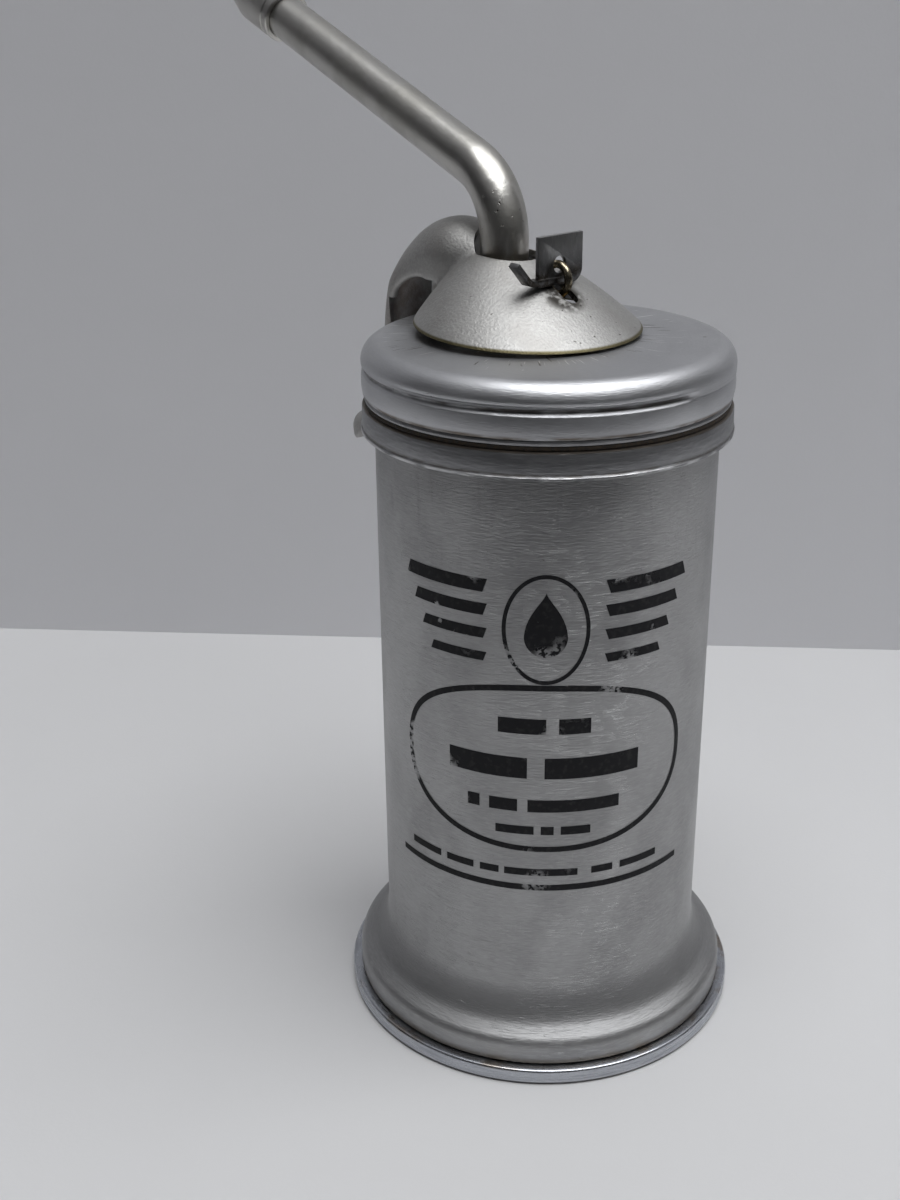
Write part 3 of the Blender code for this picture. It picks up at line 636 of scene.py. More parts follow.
def lever_plate():
    """Plated stamping: fine sandy grain, pits and oil about the slot, a bare edge darkened by painted shade
    along its underside, a handled trigger.
    """
    look = Look("lever_plate", (0.39, 0.385, 0.375), 0.54)
    sand = look.grain(2.6)
    cloud = look.grain(0.16)
    look.tint(look.over(sand, 0.35, 0.7), (0.50, 0.495, 0.48), 0.5)
    look.tint(look.over(cloud, 0.45, 0.68), (0.35, 0.34, 0.325), 0.55)
    front = look.near((-8.0, -1.0, 106.5), 3.0, 13.0)
    pits = look.times(look.specks(1.1, 0.42, 0.22), front)
    more = look.specks(0.7, 0.22, 0.11)
    look.tint(look.plus(pits, more), (0.05, 0.04, 0.03), 0.85)
    slot = look.near((-3.6, 0.8, 109.0), 1.9, 3.9)
    rough_edge = look.over(look.grain(0.8, detail=4), 0.30, 0.52)
    look.tint(look.times(slot, rough_edge), (0.03, 0.025, 0.02), 0.9)
    # Bare sheet edge round the rim: its yellowish colour, darkened as painted shade under the rim.
    lean = add_node(look.tree, "VectorMath", {0: look.solid}, operation="DOT_PRODUCT")
    lean.inputs[1].default_value = (-SKIRT_TILT, 0, 1)
    rim_z = SKIRT_Z + SKIRT_TILT * (SKIRT_R - SKIRT_X)
    raw_edge_and_shade = look.over(lean.outputs["Value"], rim_z + 0.46, rim_z + 0.2)
    raw_edge_and_shade = look.times(raw_edge_and_shade, look.near((SKIRT_X, 0.0, SKIRT_Z), SKIRT_R + 1.0, SKIRT_R + 3.0))
    look.tint(raw_edge_and_shade, (0.13, 0.11, 0.045), 0.9)
    trigger = look.near((32.0, 2.0, 104.0), 3.0, 12.0)
    handled = look.over(look.grain(0.22, detail=4), 0.32, 0.68)
    look.tint(look.times(trigger, handled), (0.13, 0.09, 0.07), 0.75)
    look.dull(look.times(trigger, handled), 0.28, 0.8)
    look.dull(look.plus(slot, pits), 0.7)
    look.bump(look.grain(0.10, detail=1), 0.2)
    look.bump(sand, 0.06)
    look.bump(pits, -0.04)
    return look.done()


def spout_nickel():
    """Nickel-plated tube with pits outside its bend and oil at its foot."""
    look = Look("spout_nickel", (0.54, 0.53, 0.50), 0.32)
    fine = look.grain(1.5, detail=4)
    cloud = look.grain(0.13)
    look.tint(look.over(fine, 0.4, 0.7), (0.54, 0.53, 0.505), 0.5)
    look.tint(look.over(cloud, 0.42, 0.66), (0.39, 0.38, 0.35), 0.7)
    look.dull(look.over(cloud, 0.40, 0.66), 0.40)
    foot = look.times(look.over(look.height, 117.5, 113.0), look.over(look.grain(0.4), 0.35, 0.6))
    look.tint(foot, (0.26, 0.21, 0.15), 0.5)
    bend = look.near((6.5, 2.2, 119.5), 1.6, 5.0)
    pits = look.times(look.specks(1.3, 0.5, 0.26), bend)
    small = look.specks(0.6, 0.12, 0.10)
    look.tint(look.plus(pits, small), (0.035, 0.03, 0.025), 0.95)
    look.dull(look.plus(pits, small), 0.8)
    look.bump(look.grain(0.2, detail=2), 0.12)
    look.bump(fine, 0.025)
    look.bump(pits, -0.02)
    return look.done()


def clip_steel():
    """Dark spring steel with painted light on its upper part, and oily below."""
    look = Look("clip_steel", (0.13, 0.13, 0.132), 0.36)
    fine = look.grain(1.6, (1, 1, 0.4), 4)
    # Painted light: the upper part of the plate is made lighter, by height alone.
    look.tint(look.over(look.height, 112.6, 115.5), (0.36, 0.36, 0.355), 0.8)
    look.tint(look.over(fine, 0.4, 0.7), (0.20, 0.20, 0.205), 0.5)
    look.dull(look.over(fine, 0.45, 0.7), 0.5)
    low = look.over(look.height, 113.4, 111.6)
    look.tint(look.times(low, look.over(look.grain(0.8, detail=2), 0.35, 0.6)), (0.04, 0.03, 0.02), 0.8)
    look.tint(look.scratches(0.8, (1, 6, 1), 0.8), (0.45, 0.45, 0.45), 0.5)
    look.bump(fine, 0.03)
    return look.done()


def bright_wire():
    """Rod steel, bright where it rubs and dark elsewhere."""
    look = Look("bright_wire", (0.34, 0.30, 0.22), 0.24)
    fine = look.grain(1.4)
    look.tint(look.over(fine, 0.42, 0.6), (0.10, 0.08, 0.05), 0.85)
    look.dull(look.over(fine, 0.5, 0.68), 0.6)
    look.bump(fine, 0.03)
    return look.done()


def plain_metal(name, colour, dark, roughness):
    """A fitting's metal: cast or turned, oily in patches."""
    look = Look(name, colour, roughness)
    fine = look.grain(2.4)
    cloud = look.grain(0.24)
    look.tint(look.over(cloud, 0.42, 0.62), dark, 0.8)
    look.dull(look.over(cloud, 0.42, 0.62), roughness + 0.15)
    look.bump(fine, 0.03)
    return look.done()


def soft_ring(name, colour, dark):
    """Cork or leather: matt, granular and dark with oil."""
    look = Look(name, colour, 0.85, 0.0)
    fine = look.grain(2.4)
    look.tint(look.over(fine, 0.42, 0.62), dark, 0.9)
    look.dull(look.over(fine, 0.5, 0.7), 0.6)
    look.bump(fine, 0.12)
    return look.done()


def panel_ink():
    """Black print, flaked in small chips and worn more along its upper part."""
    look = Look("panel_ink", (0.012, 0.012, 0.014), 0.62, 0.0)
    look.shader.inputs["Specular IOR Level"].default_value = 0.2
    fine = look.grain(1.3, vector=look.unrolled)
    chips = look.specks(0.42, 0.34, 0.34, look.unrolled)
    worn = look.over(look.grain(0.11, detail=4, vector=look.unrolled), 0.54, 0.64)
    flaked = look.over(look.grain(1.5, vector=look.unrolled), 0.42, 0.50)
    upper = look.over(look.height, 58.0, 72.0)
    gone = look.plus(look.times(look.times(chips, upper), 0.95), look.times(worn, look.times(flaked, 0.9)))
    look.tint(look.over(fine, 0.5, 0.7), (0.03, 0.03, 0.03), 0.7)
    solid = math_node(look.tree, "SUBTRACT", 1.0, gone, clamp=True)
    look.tree.links.new(solid, look.shader.inputs["Alpha"])
    look.bump(fine, 0.01)
    return look.done()


def room_surface(name, colour, rough, scale):
    """Paper or paint that is clear from its back, so that nothing hides the can from behind."""
    look = Look(name, colour, rough, 0.0)
    side = add_node(look.tree, "NewGeometry")
    front = math_node(look.tree, "SUBTRACT", 1.0, side.outputs["Backfacing"])
    look.tree.links.new(front, look.shader.inputs["Alpha"])
    cloud = look.grain(scale)
    look.tint(look.over(cloud, 0.35, 0.7), tuple(c * 0.97 for c in colour), 0.6)
    look.bump(look.grain(1.6, detail=2), 0.015)
    return look.done()


can_look = can_aluminium()
cap_look = cap_aluminium()
neck_look = neck_metal()
rim_look = rim_steel()
lever_look = lever_plate()
spout_look = spout_nickel()
clip_look = clip_steel()
wire_look = bright_wire()
brass_look = plain_metal("oily_brass", (0.55, 0.40, 0.17), (0.24, 0.17, 0.08), 0.34)
cast_look = plain_metal("grey_casting", (0.40, 0.40, 0.41), (0.22, 0.22, 0.22), 0.5)
tube_look = plain_metal("drawn_tube", (0.56, 0.55, 0.51), (0.36, 0.34, 0.29), 0.28)
steel_look = plain_metal("plated_steel", (0.42, 0.42, 0.42), (0.24, 0.23, 0.21), 0.36)
ball_look = plain_metal("polished_ball", (0.70, 0.70, 0.72), (0.60, 0.60, 0.62), 0.10)
cork_look = soft_ring("oily_cork", (0.035, 0.023, 0.013), (0.012, 0.009, 0.007))
leather_look = soft_ring("oiled_leather", (0.11, 0.06, 0.035), (0.05, 0.03, 0.02))
ink_look = panel_ink()


# ---- can

def body_outline():
    """The shell from its upper edge down to the foot rim, and back up inside."""
    outside = [(BODY_R - 0.35, BODY_TOP), (BODY_R - 0.1, BODY_TOP - 0.1), (BODY_R, BODY_TOP - 0.35)]
    outside += stepped((BODY_R, THREAD_TOP), (BODY_R, THREAD_LOW), 24) + [(BODY_R, THREAD_LOW)]
    outside += stepped((BODY_R, SIDE_TOP), (BODY_R, FLARE_TOP), 12)
    for k in range(16):
        t = radians(5 * k)
        outside.append((BODY_R + FLARE_WIDE * (1 - cos(t)), FLARE_TOP - FLARE_DEEP * sin(t)))
    outside += arc(FLARE_R - FLARE_TURN, FLARE_TURN_Z, FLARE_TURN, 60, 0, 10)
    outside += [(FLARE_R, 4.4), (FLARE_R, RIM_H + 0.3)]
    inside = [(r - WALL, z) for r, z in reversed(outside) if z < THREAD_LOW - 0.4 or z > THREAD_TOP + 0.2]
    return outside + inside


def neck_thread(r, z, a):
    """Raises the one-turn rolled thread round the can's neck."""
    if z < THREAD_LOW - 0.1 or r < BODY_R - 0.2:
        return r
    turn = (a / tau + 0.25) % 1.0
    ends = ramp(turn, 0, 0.06) * ramp(turn, 1.0, 0.94)
    return r + THREAD_DEPTH * hump(z - (THREAD_START + THREAD_RISE * turn), THREAD_HALF) * ends


def make_can():
    """The shell, and the rim, plate and neck ring fixed to it."""
    turned_piece("can_body", body_outline(), can_look, "can", "body_shell", "can", 50, shape=neck_thread)
    inner = RIM_R - 2.4
    rim = [(inner, RIM_H), (RIM_R - 0.75, RIM_H)] + arc(RIM_R - 0.42, RIM_H - 0.42, 0.42, 80, 0, 5)
    rim += [(RIM_R - 0.12, 1.75), (RIM_R - 0.16, 1.1), (RIM_R - 0.05, 0.85)]
    rim += arc(RIM_R - 0.62, 0.6, 0.6, 0, -90, 6) + [(inner + 0.2, 0), (inner, 0.2)]
    turned_piece("foot_rim", rim, rim_look, "can", "base_rim", "rim", 30)
    low = 0.6
    edge = inner - 0.3
    plate = [(0, 1.3), (edge, 1.3), (edge, low), (edge - 1.2, low), (edge - 1.8, low + 0.35)]
    plate += [(edge - 2.6, low + 0.35), (edge - 3.2, low), (0, low)]
    turned_piece("foot_plate", plate, can_look, "can", "bottom_plate", "plate", 30)
    inner = BODY_R + 0.3
    ring = [(inner, NECK_TOP), (NECK_R - 0.6, NECK_TOP), (NECK_R - 0.25, NECK_TOP - 0.12)]
    ring += [(NECK_R - 0.12, NECK_TOP - 0.4), (NECK_R - 0.06, NECK_LOW + 0.75)]
    ring += [(NECK_R - 0.1, NECK_LOW + 0.6), (NECK_R, NECK_LOW + 0.46), (NECK_R + 0.1, NECK_LOW + 0.36)]
    ring += [(NECK_R + 0.1, NECK_LOW + 0.1), (NECK_R, NECK_LOW), (inner, NECK_LOW)]
    turned_piece("neck_flange", ring, neck_look, "can", "neck_ring", "neck", 30)


def make_seals():
    """The oily cork gasket, and the metal band that lies on it under the cap."""
    inner = BODY_R + 0.3
    cork = [(inner, CORK_TOP), (NECK_R - 0.55, CORK_TOP), (NECK_R - 0.45, CORK_LOW + 0.3),
            (NECK_R - 0.5, CORK_LOW + 0.03), (inner, CORK_LOW)]
    turned_piece("seal_cork", cork, cork_look, "seal", "cap_gasket", "cork")
    band = [(inner, BAND_TOP + 0.02), (NECK_R - 0.5, BAND_TOP), (NECK_R - 0.4, BAND_LOW + 0.35),
            (NECK_R - 0.5, BAND_LOW + 0.03), (inner, BAND_LOW)]
    turned_piece("seal_band", band, neck_look, "seal", "seal_ring", "rim")


# ---- printed panel

class Panel:
    """Flat shapes drawn by distance round the can and height, then laid on its side."""

    def __init__(self):
        self.bm = bmesh.new()

    def point(self, u, z):
        """A corner on the can, u millimetres round it from the panel's middle."""
        a = radians(PANEL_ANGLE) + u / BODY_R
        r = BODY_R + PANEL_OFF
        return self.bm.verts.new((r * cos(a), r * sin(a), z))

    def grid(self, rows):
        made = [[self.point(u, z) for u, z in row] for row in rows]
        for one, two in zip(made, made[1:]):
            for i in range(len(one) - 1):
                self.bm.faces.new((one[i], one[i + 1], two[i + 1], two[i]))

    def bar(self, centre, z, half, height, slope=0.0):
        """A level bar with slanted ends."""
        count = max(2, int(half / 0.35))
        low, high = z - height / 2, z + height / 2
        self.grid([[(centre + half * (2 * i / count - 1) + (y - z) * slope, y) for i in range(count + 1)]
                   for y in (low, high)])

    def loop(self, half, height, centre, z, line, power=2.0, steps=160):
        """A closed oval line of even width."""
        def at(grow, i):
            t = tau * i / steps
            c, s = cos(t), sin(t)
            return (centre + (half + grow) * copysign(abs(c) ** (2 / power), c),
                    z + (height + grow) * copysign(abs(s) ** (2 / power), s))
        self.grid([[at(grow, i) for i in range(steps + 1)] for grow in (-line / 2, line / 2)])

    def drop(self, centre, z, radius, tall, layers=6, steps=48):
        """A filled oil drop, round below and drawn to a point above."""
        def edge(i):
            t = tau * i / steps
            x, y = sin(t), -cos(t)
            narrow = 1 - 0.5 * max(0, y) ** 1.5
            return x * radius * narrow * (1 - max(0, y) ** 4), y * (tall if y > 0 else radius)
        rows = [[(centre + edge(i)[0] * k / layers, z + edge(i)[1] * k / layers) for i in range(steps + 1)]
                for k in range(layers + 1)]
        self.grid(rows)


def make_panel():
    """Generic print: a ringed oil drop between stacked bars, an oval of plain lines and a footing band."""
    panel = Panel()
    panel.drop(0, 68.6, 2.9, 6.4)
    panel.loop(5.6, 7.6, 0, 69.6, 0.55)
    for side in (-1, 1):
        for k in range(4):
            half = 6.4 - 0.75 * k
            panel.bar(side * (8.2 + half), 75.4 - 3.4 * k, half, 1.9 - 0.2 * k, -0.35 * side)
    panel.loop(OVAL_HALF, OVAL_H, 0, OVAL_Z, 0.85, 2.3)
    rows = ((55.4, 2.3, (6.6, 4.4)), (49.0, 3.2, (11.4, 13.6)), (43.1, 1.9, (1.8, 4.0, 13.0)),
            (39.2, 1.3, (5.4, 1.8, 4.2)))
    for z, height, widths in rows:
        gap = height * 0.75
        left = -(sum(widths) + gap * (len(widths) - 1)) / 2
        for width in widths:
            panel.bar(left + width / 2, z, width / 2, height)
            left += width + gap
    for centre, half in ((-18.4, 2.9), (-12.2, 2.2), (-7.6, 1.4), (-0.2, 5.2), (8.6, 1.6), (14.6, 3.2)):
        panel.bar(centre, 32.4, half, 1.1)
    panel.bar(-0.6, 29.9, 23.2, 0.95)
    bmesh.ops.remove_doubles(panel.bm, verts=panel.bm.verts, dist=0.0005)
    write_piece("panel_print", panel.bm, ink_look, "can", None, "can", 60)


# ---- cap

def cap_outline():
    """The cap from the middle of its top round its shoulder to its lower edge, and back inside."""
    outside = [(0, CAP_TOP)] + stepped((6, CAP_TOP), (CAP_R - SHOULDER - 1.2, CAP_TOP), 6)
    outside += [(CAP_R - SHOULDER - 0.6, CAP_TOP - 0.02)]
    outside += arc(CAP_R - SHOULDER, CAP_TOP - SHOULDER, SHOULDER, 84, 0, 14)
    outside += stepped((CAP_R, GROOVE_Z + 0.7), (CAP_R, CAP_LOW + 0.8), 44)
    outside += [(CAP_R - 0.02, CAP_LOW + 0.7), (CAP_R, CAP_LOW + 0.5), (CAP_R, CAP_LOW + 0.3)]
    outside += [(CAP_R - 0.1, CAP_LOW + 0.08), (CAP_R - 0.3, CAP_LOW)]
    top = CAP_TOP - CAP_WALL
    inner = CAP_R - 0.45 - CAP_WALL
    inside = [(inner + 0.2, CAP_LOW), (inner, CAP_LOW + 0.2), (inner, top - 1.6)]
    return outside + inside + [(inner - 0.5, top - 0.5), (inner - 1.6, top), (0, top)]


def rolled_thread(r, z, a):
    """Sinks the rolled thread into the cap's side; it dies away over a short sector."""
    if r < CAP_R - 0.15 or z > GROOVE_Z + 1.2:
        return r
    angle = (degrees(a) - GROOVE_END) % 360
    open_share = ramp(angle, 30, 55) * (1 - ramp(angle, 354, 360))
    main = GROOVE_DEPTH * hump(z - GROOVE_Z, GROOVE_HALF) * open_share
    lip = 0.14 * hump(z - (GROOVE_Z + 0.85), 0.25) * ramp(angle, 180, 300) * (1 - ramp(angle, 350, 360))
    waist = ((z - (CAP_LOW + 1.8)) / 1.8) ** 2
    belly = BELLY * min(1.0, waist) if z < GROOVE_Z - 0.2 else 0.0
    return r - max(main, belly) - lip


def make_cap():
    """The cap, drilled for the rod and the spout."""
    bm = bmesh.new()
    turned(bm, cap_outline(), shape=rolled_thread)
    cap = scratch_object("cap_blank", bm)
    for x, radius in ((ROD_X, ROD_HOLE_R), (SPOUT_X, SPOUT_HOLE_R)):
        hole = prism_solid("cap_hole", arc(x, 0, radius, 0, 360, 48)[:-1], CAP_TOP - 3, CAP_TOP + 2)
        combined(cap, hole)
    write_piece("cap_shell", taken(cap), cap_look, "head", "screw_cap", "cap", 40)


# ---- spout

def spout_path():
    """The middle of the tube: upright, round its bend, then out at its rise."""
    turn = radians(90) - RISE
    tangent = BEND_R * tan(turn / 2)
    centre = (SPOUT_X + BEND_R, CORNER_Z - tangent)
    bend = arc(*centre, BEND_R, 180, 90 + degrees(RISE), 28)
    end = (SPOUT_X + RUN * cos(RISE), CORNER_Z + RUN * sin(RISE))
    upright = [(SPOUT_X, FOOT_Z), (SPOUT_X, FOOT_Z + 0.8), (SPOUT_X, FOOT_Z + 0.95)]
    upright += stepped((SPOUT_X, FOOT_Z + 1.7), bend[0], 6)
    return upright + bend[:-1] + stepped(bend[-1], end, 12) + [end]


def make_spout():
    """The tube with its bore, and the tapered nozzle over its end."""
    path = spout_path()
    last = len(path) - 1

    def outer(i):
        taper = max(0, i - 8) / (last - 8)
        radius = SPOUT_FOOT_R if i < 2 else SPOUT_R + (SPOUT_END_R - SPOUT_R) * taper
        squeeze = 0.05 * hump(i - 23, 14)
        return [(d * (1 - squeeze), y * (1 + squeeze)) for d, y in arc(0, 0, radius, 0, 360, FITTING)[:-1]]

    bm = bmesh.new()
    sweep(bm, path, outer)
    tube = scratch_object("spout_blank", bm)
    bore = bmesh.new()
    end = Vector(path[-1])
    along = Vector((cos(RISE), sin(RISE)))
    route = [(SPOUT_X, FOOT_Z - 1)] + path[1:-1] + [tuple(end + along)]
    sweep(bore, route, lambda i: arc(0, 0, SPOUT_R - SPOUT_WALL, 0, 360, 40)[:-1])
    combined(tube, scratch_object("spout_bore", bore))
    write_piece("spout_pipe", taken(tube), spout_look, "head", "spout_tube", "spout", 40)
    bm = bmesh.new()
    socket = SPOUT_END_R + 0.08
    outline = [(socket, -TIP_BACK), (TIP_R - 0.15, -TIP_BACK), (TIP_R, 0.2 - TIP_BACK), (TIP_R, -2.9)]
    outline += [(TIP_R - 0.12, -2.75), (TIP_R - 0.12, -2.45), (TIP_R, -2.3), (TIP_R, 3.6), (3.84, 4.1)]
    outline += [(3.45, 5.6), (3.1, 7.0), (2.55, 9.6), (2.15, TIP_LEN - 0.4), (2.0, TIP_LEN - 0.1)]
    outline += [(1.8, TIP_LEN), (TIP_BORE_R + 0.2, TIP_LEN), (TIP_BORE_R, TIP_LEN - 0.2), (TIP_BORE_R, 0.3)]
    outline += [(socket, 0.3)]
    turned(bm, outline, FITTING)
    tilt = Matrix.Translation((end.x, 0, end.y)) @ Matrix.Rotation(pi / 2 - RISE, 4, "Y")
    bmesh.ops.transform(bm, matrix=tilt, verts=bm.verts)
    write_piece("spout_nozzle", bm, spout_look, "head", "nozzle_tip", "spout", 30)


# ---- lever

def skirt_rings(inset, drop):
    """Rings of the oblique cone from below its rim up to its crown."""
    rings = []
    count = 24
    turns = [tau * i / SKIRT_STEPS for i in range(SKIRT_STEPS)]
    for k in range(count + 1):
        d = k / count
        radius = SKIRT_R + (CROWN_R - SKIRT_R) * d - inset * 0.8
        x = SKIRT_X + (SPOUT_X - SKIRT_X) * d
        z = SKIRT_Z + CROWN_H * d * (1.3 - 0.3 * d) - inset * 0.9 * min(1, d * 6)
        lean = SKIRT_TILT * (1 - d)
        rings.append([(x + radius * cos(a), radius * sin(a),
                       z + lean * (SKIRT_R + radius * cos(a))) for a in turns])
    rings.insert(0, [(x, y, z - drop) for x, y, z in rings[0]])
    return rings


def arch_path():
    """The top line of the trigger, from the crown of the skirt to the end of its tail."""
    knots = [(7.0, 112.9), (12.0, 115.8), (17.0, 117.2), (22.0, 116.2), (26.5, 113.0), (29.8, 108.0),
             (31.6, 101.5), (32.4, 95.0), (34.4, 89.4), (38.2, 85.6), (43.0, 83.6)]
    return catmull(knots, 6)


def arch_section(share, inset):
    """Hoop of the trigger's section, with short legs; the tail narrows and its end is rounded."""
    half = HOOP_HALF - 1.8 * max(0, share - 0.5) * 2
    half *= min(1, 0.72 + share * 2)
    depth = HOOP_DEPTH - 4.2 * min(1, max(0, share - 0.3) / 0.2)
    half *= 1 - 0.4 * ramp(share, 0.93, 1.0)
    half -= inset
    hoop = min(half, depth - 0.5)
    points = [(inset + hoop * (1 - cos(a)), half * sin(a))
              for a in (radians(-90 + 180 * k / 24) for k in range(25))]
    reach = depth + (0.5 if inset else 0)
    return points + [(reach, half), (reach, -half)]


def hoop_solid(name, inset, skip):
    """The trigger as a solid, drawn in by inset and shorter by skip steps at each end."""
    path = arch_path()
    count = len(path) - 1
    sections = [arch_section(i / count, inset) for i in range(skip, len(path) - skip)]
    bm = bmesh.new()
    sweep(bm, path[skip:len(path) - skip], sections.__getitem__)
    return scratch_object(name, bm)


def box_solid(name, x, y, z):
    return prism_solid(name, [(x[0], y[0]), (x[1], y[0]), (x[1], y[1]), (x[0], y[1])], *z)


def slot_solid(name, ends, half):
    """An upright bar with round ends, to cut a slot."""
    front, rear = ends
    outline = arc(rear - half, 0, half, -90, 90, 20) + arc(front + half, 0, half, 90, 270, 20)
    return prism_solid(name, outline, 105, 125)


def make_lever():
    """The outer solid is joined and blended first; its hollow, rim, holes and rear opening are cut after."""
    bm = bmesh.new()
    skin(bm, skirt_rings(0, 2.5))
    lever = scratch_object("lever_blank", bm)
    combined(lever, hoop_solid("lever_hoop", 0, 0), "UNION")
    modified(lever, "REMESH", mode="VOXEL", voxel_size=VOXEL)
    modified(lever, "SMOOTH", factor=0.6, iterations=14)
    bm = bmesh.new()
    skin(bm, skirt_rings(SHEET, 4))
    hollow = hoop_solid("lever_hollow", SHEET + 0.05, 4)
    bm.from_mesh(hollow.data)
    bpy.data.objects.remove(hollow, do_unlink=True)
    inside = scratch_object("lever_inside", bm)
    modified(inside, "REMESH", mode="VOXEL", voxel_size=VOXEL)
    modified(inside, "SMOOTH", factor=0.6, iterations=6)
    combined(lever, inside)
    under = box_solid("lever_under", (-16, 27.5), (-20, 20), (96, SKIRT_Z))
    lift = SKIRT_TILT * (SKIRT_R - SKIRT_X)
    shear = Matrix(((1, 0, 0, 0), (0, 1, 0, 0), (SKIRT_TILT, 0, 1, lift), (0, 0, 0, 1)))
    under.data.transform(shear)
    combined(lever, under)
    notch = box_solid("lever_notch", NOTCH_X, (-NOTCH_HALF, NOTCH_HALF), (100, NOTCH_TOP))
    combined(lever, notch)
    combined(lever, slot_solid("lever_hole", HOLE_X, HOLE_HALF))
    combined(lever, slot_solid("lever_slot", SLOT_X, SLOT_HALF))
    write_piece("trigger_lever", taken(lever), lever_look, "lever", "lever", "lever", 45)


# ---- rod eye and clip

def make_rod():
    """The pump rod with the ring at its top."""
    rod = prism_solid("rod_blank", arc(ROD_X, 0, ROD_R, 0, 360, 32)[:-1], ROD_LOW, EYE_Z - EYE_R)
    bm = bmesh.new()
    wire = arc(0, 0, EYE_WIRE, 0, 360, 20)[:-1]
    sweep(bm, arc(ROD_X, EYE_Z, EYE_R, 0, 360, 56)[:-1], lambda i: wire, wrap=True)
    combined(rod, scratch_object("rod_loop", bm), "UNION")
    write_piece("rod_with_eye", taken(rod), wire_look, "rod", "pull_rod", "rod", 40)


def make_clip():
    """A drilled upright plate on a narrow strip whose tail is bent up at one side."""
    low = EYE_Z - CLIP_DROP
    y = CLIP_HALF
    wide = y + CLIP_EXTRA
    plate = arc(CLIP_CORNER - wide, low + 1.5, CLIP_CORNER, 180, 264, 10)
    plate += [(y, low - 0.4), (y, low + CLIP_H), (-wide, low + CLIP_H)]
    strip = [(-y + 1.2, low), (y + 1.4, low), (y + 2.0, low + 0.2), (y + 4.4, low + 2.9)]
    strip += [(y + 3.9, low + 3.4), (y + 1.7, low + 0.95), (y + 1.2, low + 0.7), (-y + 1.2, low + 0.7)]
    hole = arc(0, EYE_Z + EYE_R, CLIP_HOLE_R, 0, 360, 40)[:-1]
    clip = prism_solid("clip_blank", plate, ROD_X - CLIP_PLATE, ROD_X + CLIP_PLATE, True)
    strip = prism_solid("clip_strip", strip, ROD_X - CLIP_STRIP, ROD_X + CLIP_STRIP, True)
    combined(clip, strip, "UNION")
    combined(clip, prism_solid("clip_hole", hole, ROD_X - 2, ROD_X + 2, True))
    modified(clip, "BEVEL", width=0.07, segments=2, limit_method="ANGLE", angle_limit=radians(40))
    write_piece("eye_clip", taken(clip), clip_look, "rod", "lock_clip", "clip", 40)


# ---- carried-over fittings

def dress_fittings():
    """Gives each node that stays as it is the finish of its material slot."""
    looks = {"brass": brass_look, "casting": cast_look, "tube": tube_look, "steel": steel_look,
             "wire": steel_look, "ball": ball_look, "leather": leather_look, "cork": cork_look}
    slots = {entry["node"]: entry["material_slot"] for entry in frame["record"]["subparts"]}
    for node, obj in frame["nodes"].items():
        look = looks.get(slots[node])
        if look and not obj.hide_render:
            obj.data.materials.clear()
            obj.data.materials.append(look)


make_can()
make_seals()
make_panel()
make_cap()
make_spout()
make_lever()
make_rod()
make_clip()
dress_fittings()


# ---- room, camera and lights

def from_front(x, y, z):
    """A place given as seen from the front, in metres, as one in the model's frame."""
    return Matrix.Rotation(VIEW_TURN, 3, "Z") @ Vector((x, y, z))


def make_room():
    """The table and the wall behind it, which meet along one line."""
    table = room_surface("table_paper", (0.645, 0.645, 0.65), 0.6, 0.012)
    paint = room_surface("wall_paint", (0.72, 0.72, 0.742), 0.85, 0.006)
    left, right = Vector(TABLE_LEFT), Vector(TABLE_RIGHT)
    along = (right - left).normalized()
    start, end = left - along * ROOM_REACH, right + along * ROOM_REACH
    turn = right + along * WALL_END
    quads = {"table_top": [(*start, 0), (*end, 0), (end.x, TABLE_FRONT, 0), (start.x, TABLE_FRONT, 0)],
             "back_wall": [(*start, 0), (*start, ROOM_REACH), (*turn, ROOM_REACH), (*turn, 0)]}
    for name, corners in quads.items():
        mesh = bpy.data.meshes.new(name)
        mesh.from_pydata([from_front(*corner) for corner in corners], [], [(0, 3, 2, 1)])
        mesh.materials.append(table if name == "table_top" else paint)
        surface = new_object(name, mesh)


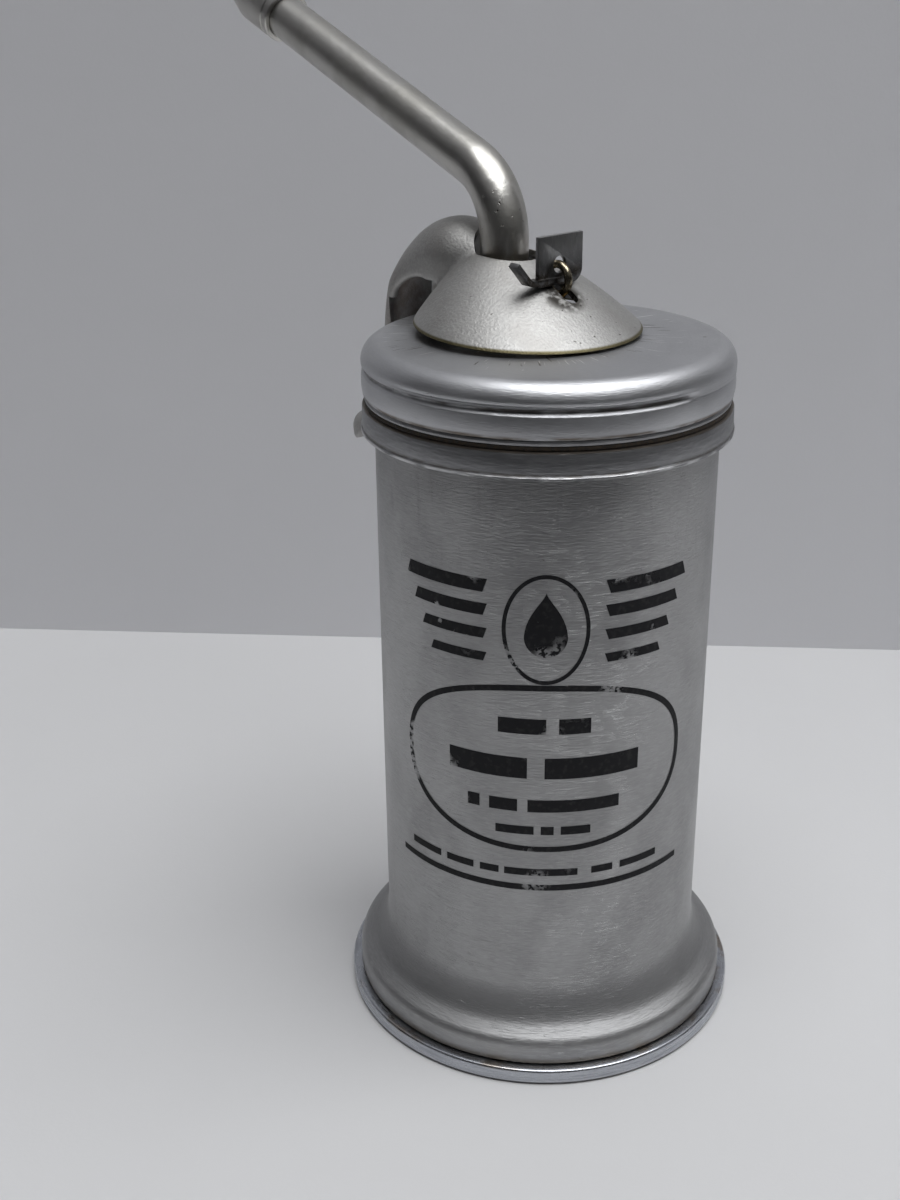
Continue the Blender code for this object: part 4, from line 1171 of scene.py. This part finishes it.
def make_camera():
    camera = bpy.data.cameras.new("camera")
    camera.sensor_width = 36
    camera.lens = LENS
    camera.clip_start = 0.01
    obj = new_object("camera", camera)
    turn = Matrix.Rotation(VIEW_TURN, 4, "Z") @ Matrix.Rotation(pi / 2 - CAMERA_DOWN, 4, "X")
    turn = turn @ Matrix.Rotation(-CAMERA_ROLL, 4, "Z")
    obj.matrix_world = Matrix.Translation(from_front(*CAMERA_PLACE)) @ turn
    bpy.context.scene.camera = obj


def make_light(name, place, aim, size, power, colour):
    light = bpy.data.lights.new(name, "AREA")
    light.shape = "RECTANGLE"
    light.size, light.size_y = size
    light.energy = power
    light.color = colour
    obj = new_object(name, light)
    start, end = from_front(*place), from_front(*aim)
    obj.location = start
    obj.rotation_euler = (end - start).to_track_quat("-Z", "Y").to_euler()


def make_world():
    """Dark below and soft above for light and reflections, with a plain pale backdrop to the eye."""
    world = bpy.data.worlds.new("room_light")
    world.use_nodes = True
    tree = world.node_tree
    back = tree.nodes["Background"]
    coord = add_node(tree, "TexCoord")
    split = add_node(tree, "SeparateXYZ", {0: coord.outputs["Generated"]})
    up = step_between(tree, split.outputs[2], 0.25, 1.0)
    mix = add_node(tree, "Mix", data_type="RGBA")
    mix.inputs[COLOUR_A].default_value = (0.025, 0.025, 0.027, 1)
    mix.inputs[COLOUR_B].default_value = (0.30, 0.30, 0.315, 1)
    tree.links.new(up, mix.inputs[0])
    backdrop = add_node(tree, "Mix", data_type="RGBA")
    seen = add_node(tree, "LightPath")
    tree.links.new(seen.outputs["Is Camera Ray"], backdrop.inputs[0])
    tree.links.new(mix.outputs[COLOUR_OUT], backdrop.inputs[COLOUR_A])
    backdrop.inputs[COLOUR_B].default_value = (0.50, 0.50, 0.515, 1)
    tree.links.new(backdrop.outputs[COLOUR_OUT], back.inputs["Color"])
    back.inputs["Strength"].default_value = 0.8
    bpy.context.scene.world = world


make_room()
make_camera()
make_world()
make_light("window", (0.9, -0.2, 0.6), (0, 0, 0.03), (0.6, 0.6), 0.12, (1.0, 0.99, 0.97))
make_light("ceiling", (0.20, -0.09, 1.1), (0, 0, 0), (0.95, 0.95), 14.3, (0.98, 0.99, 1.0))
bpy.context.scene.view_settings.view_transform = "Standard"
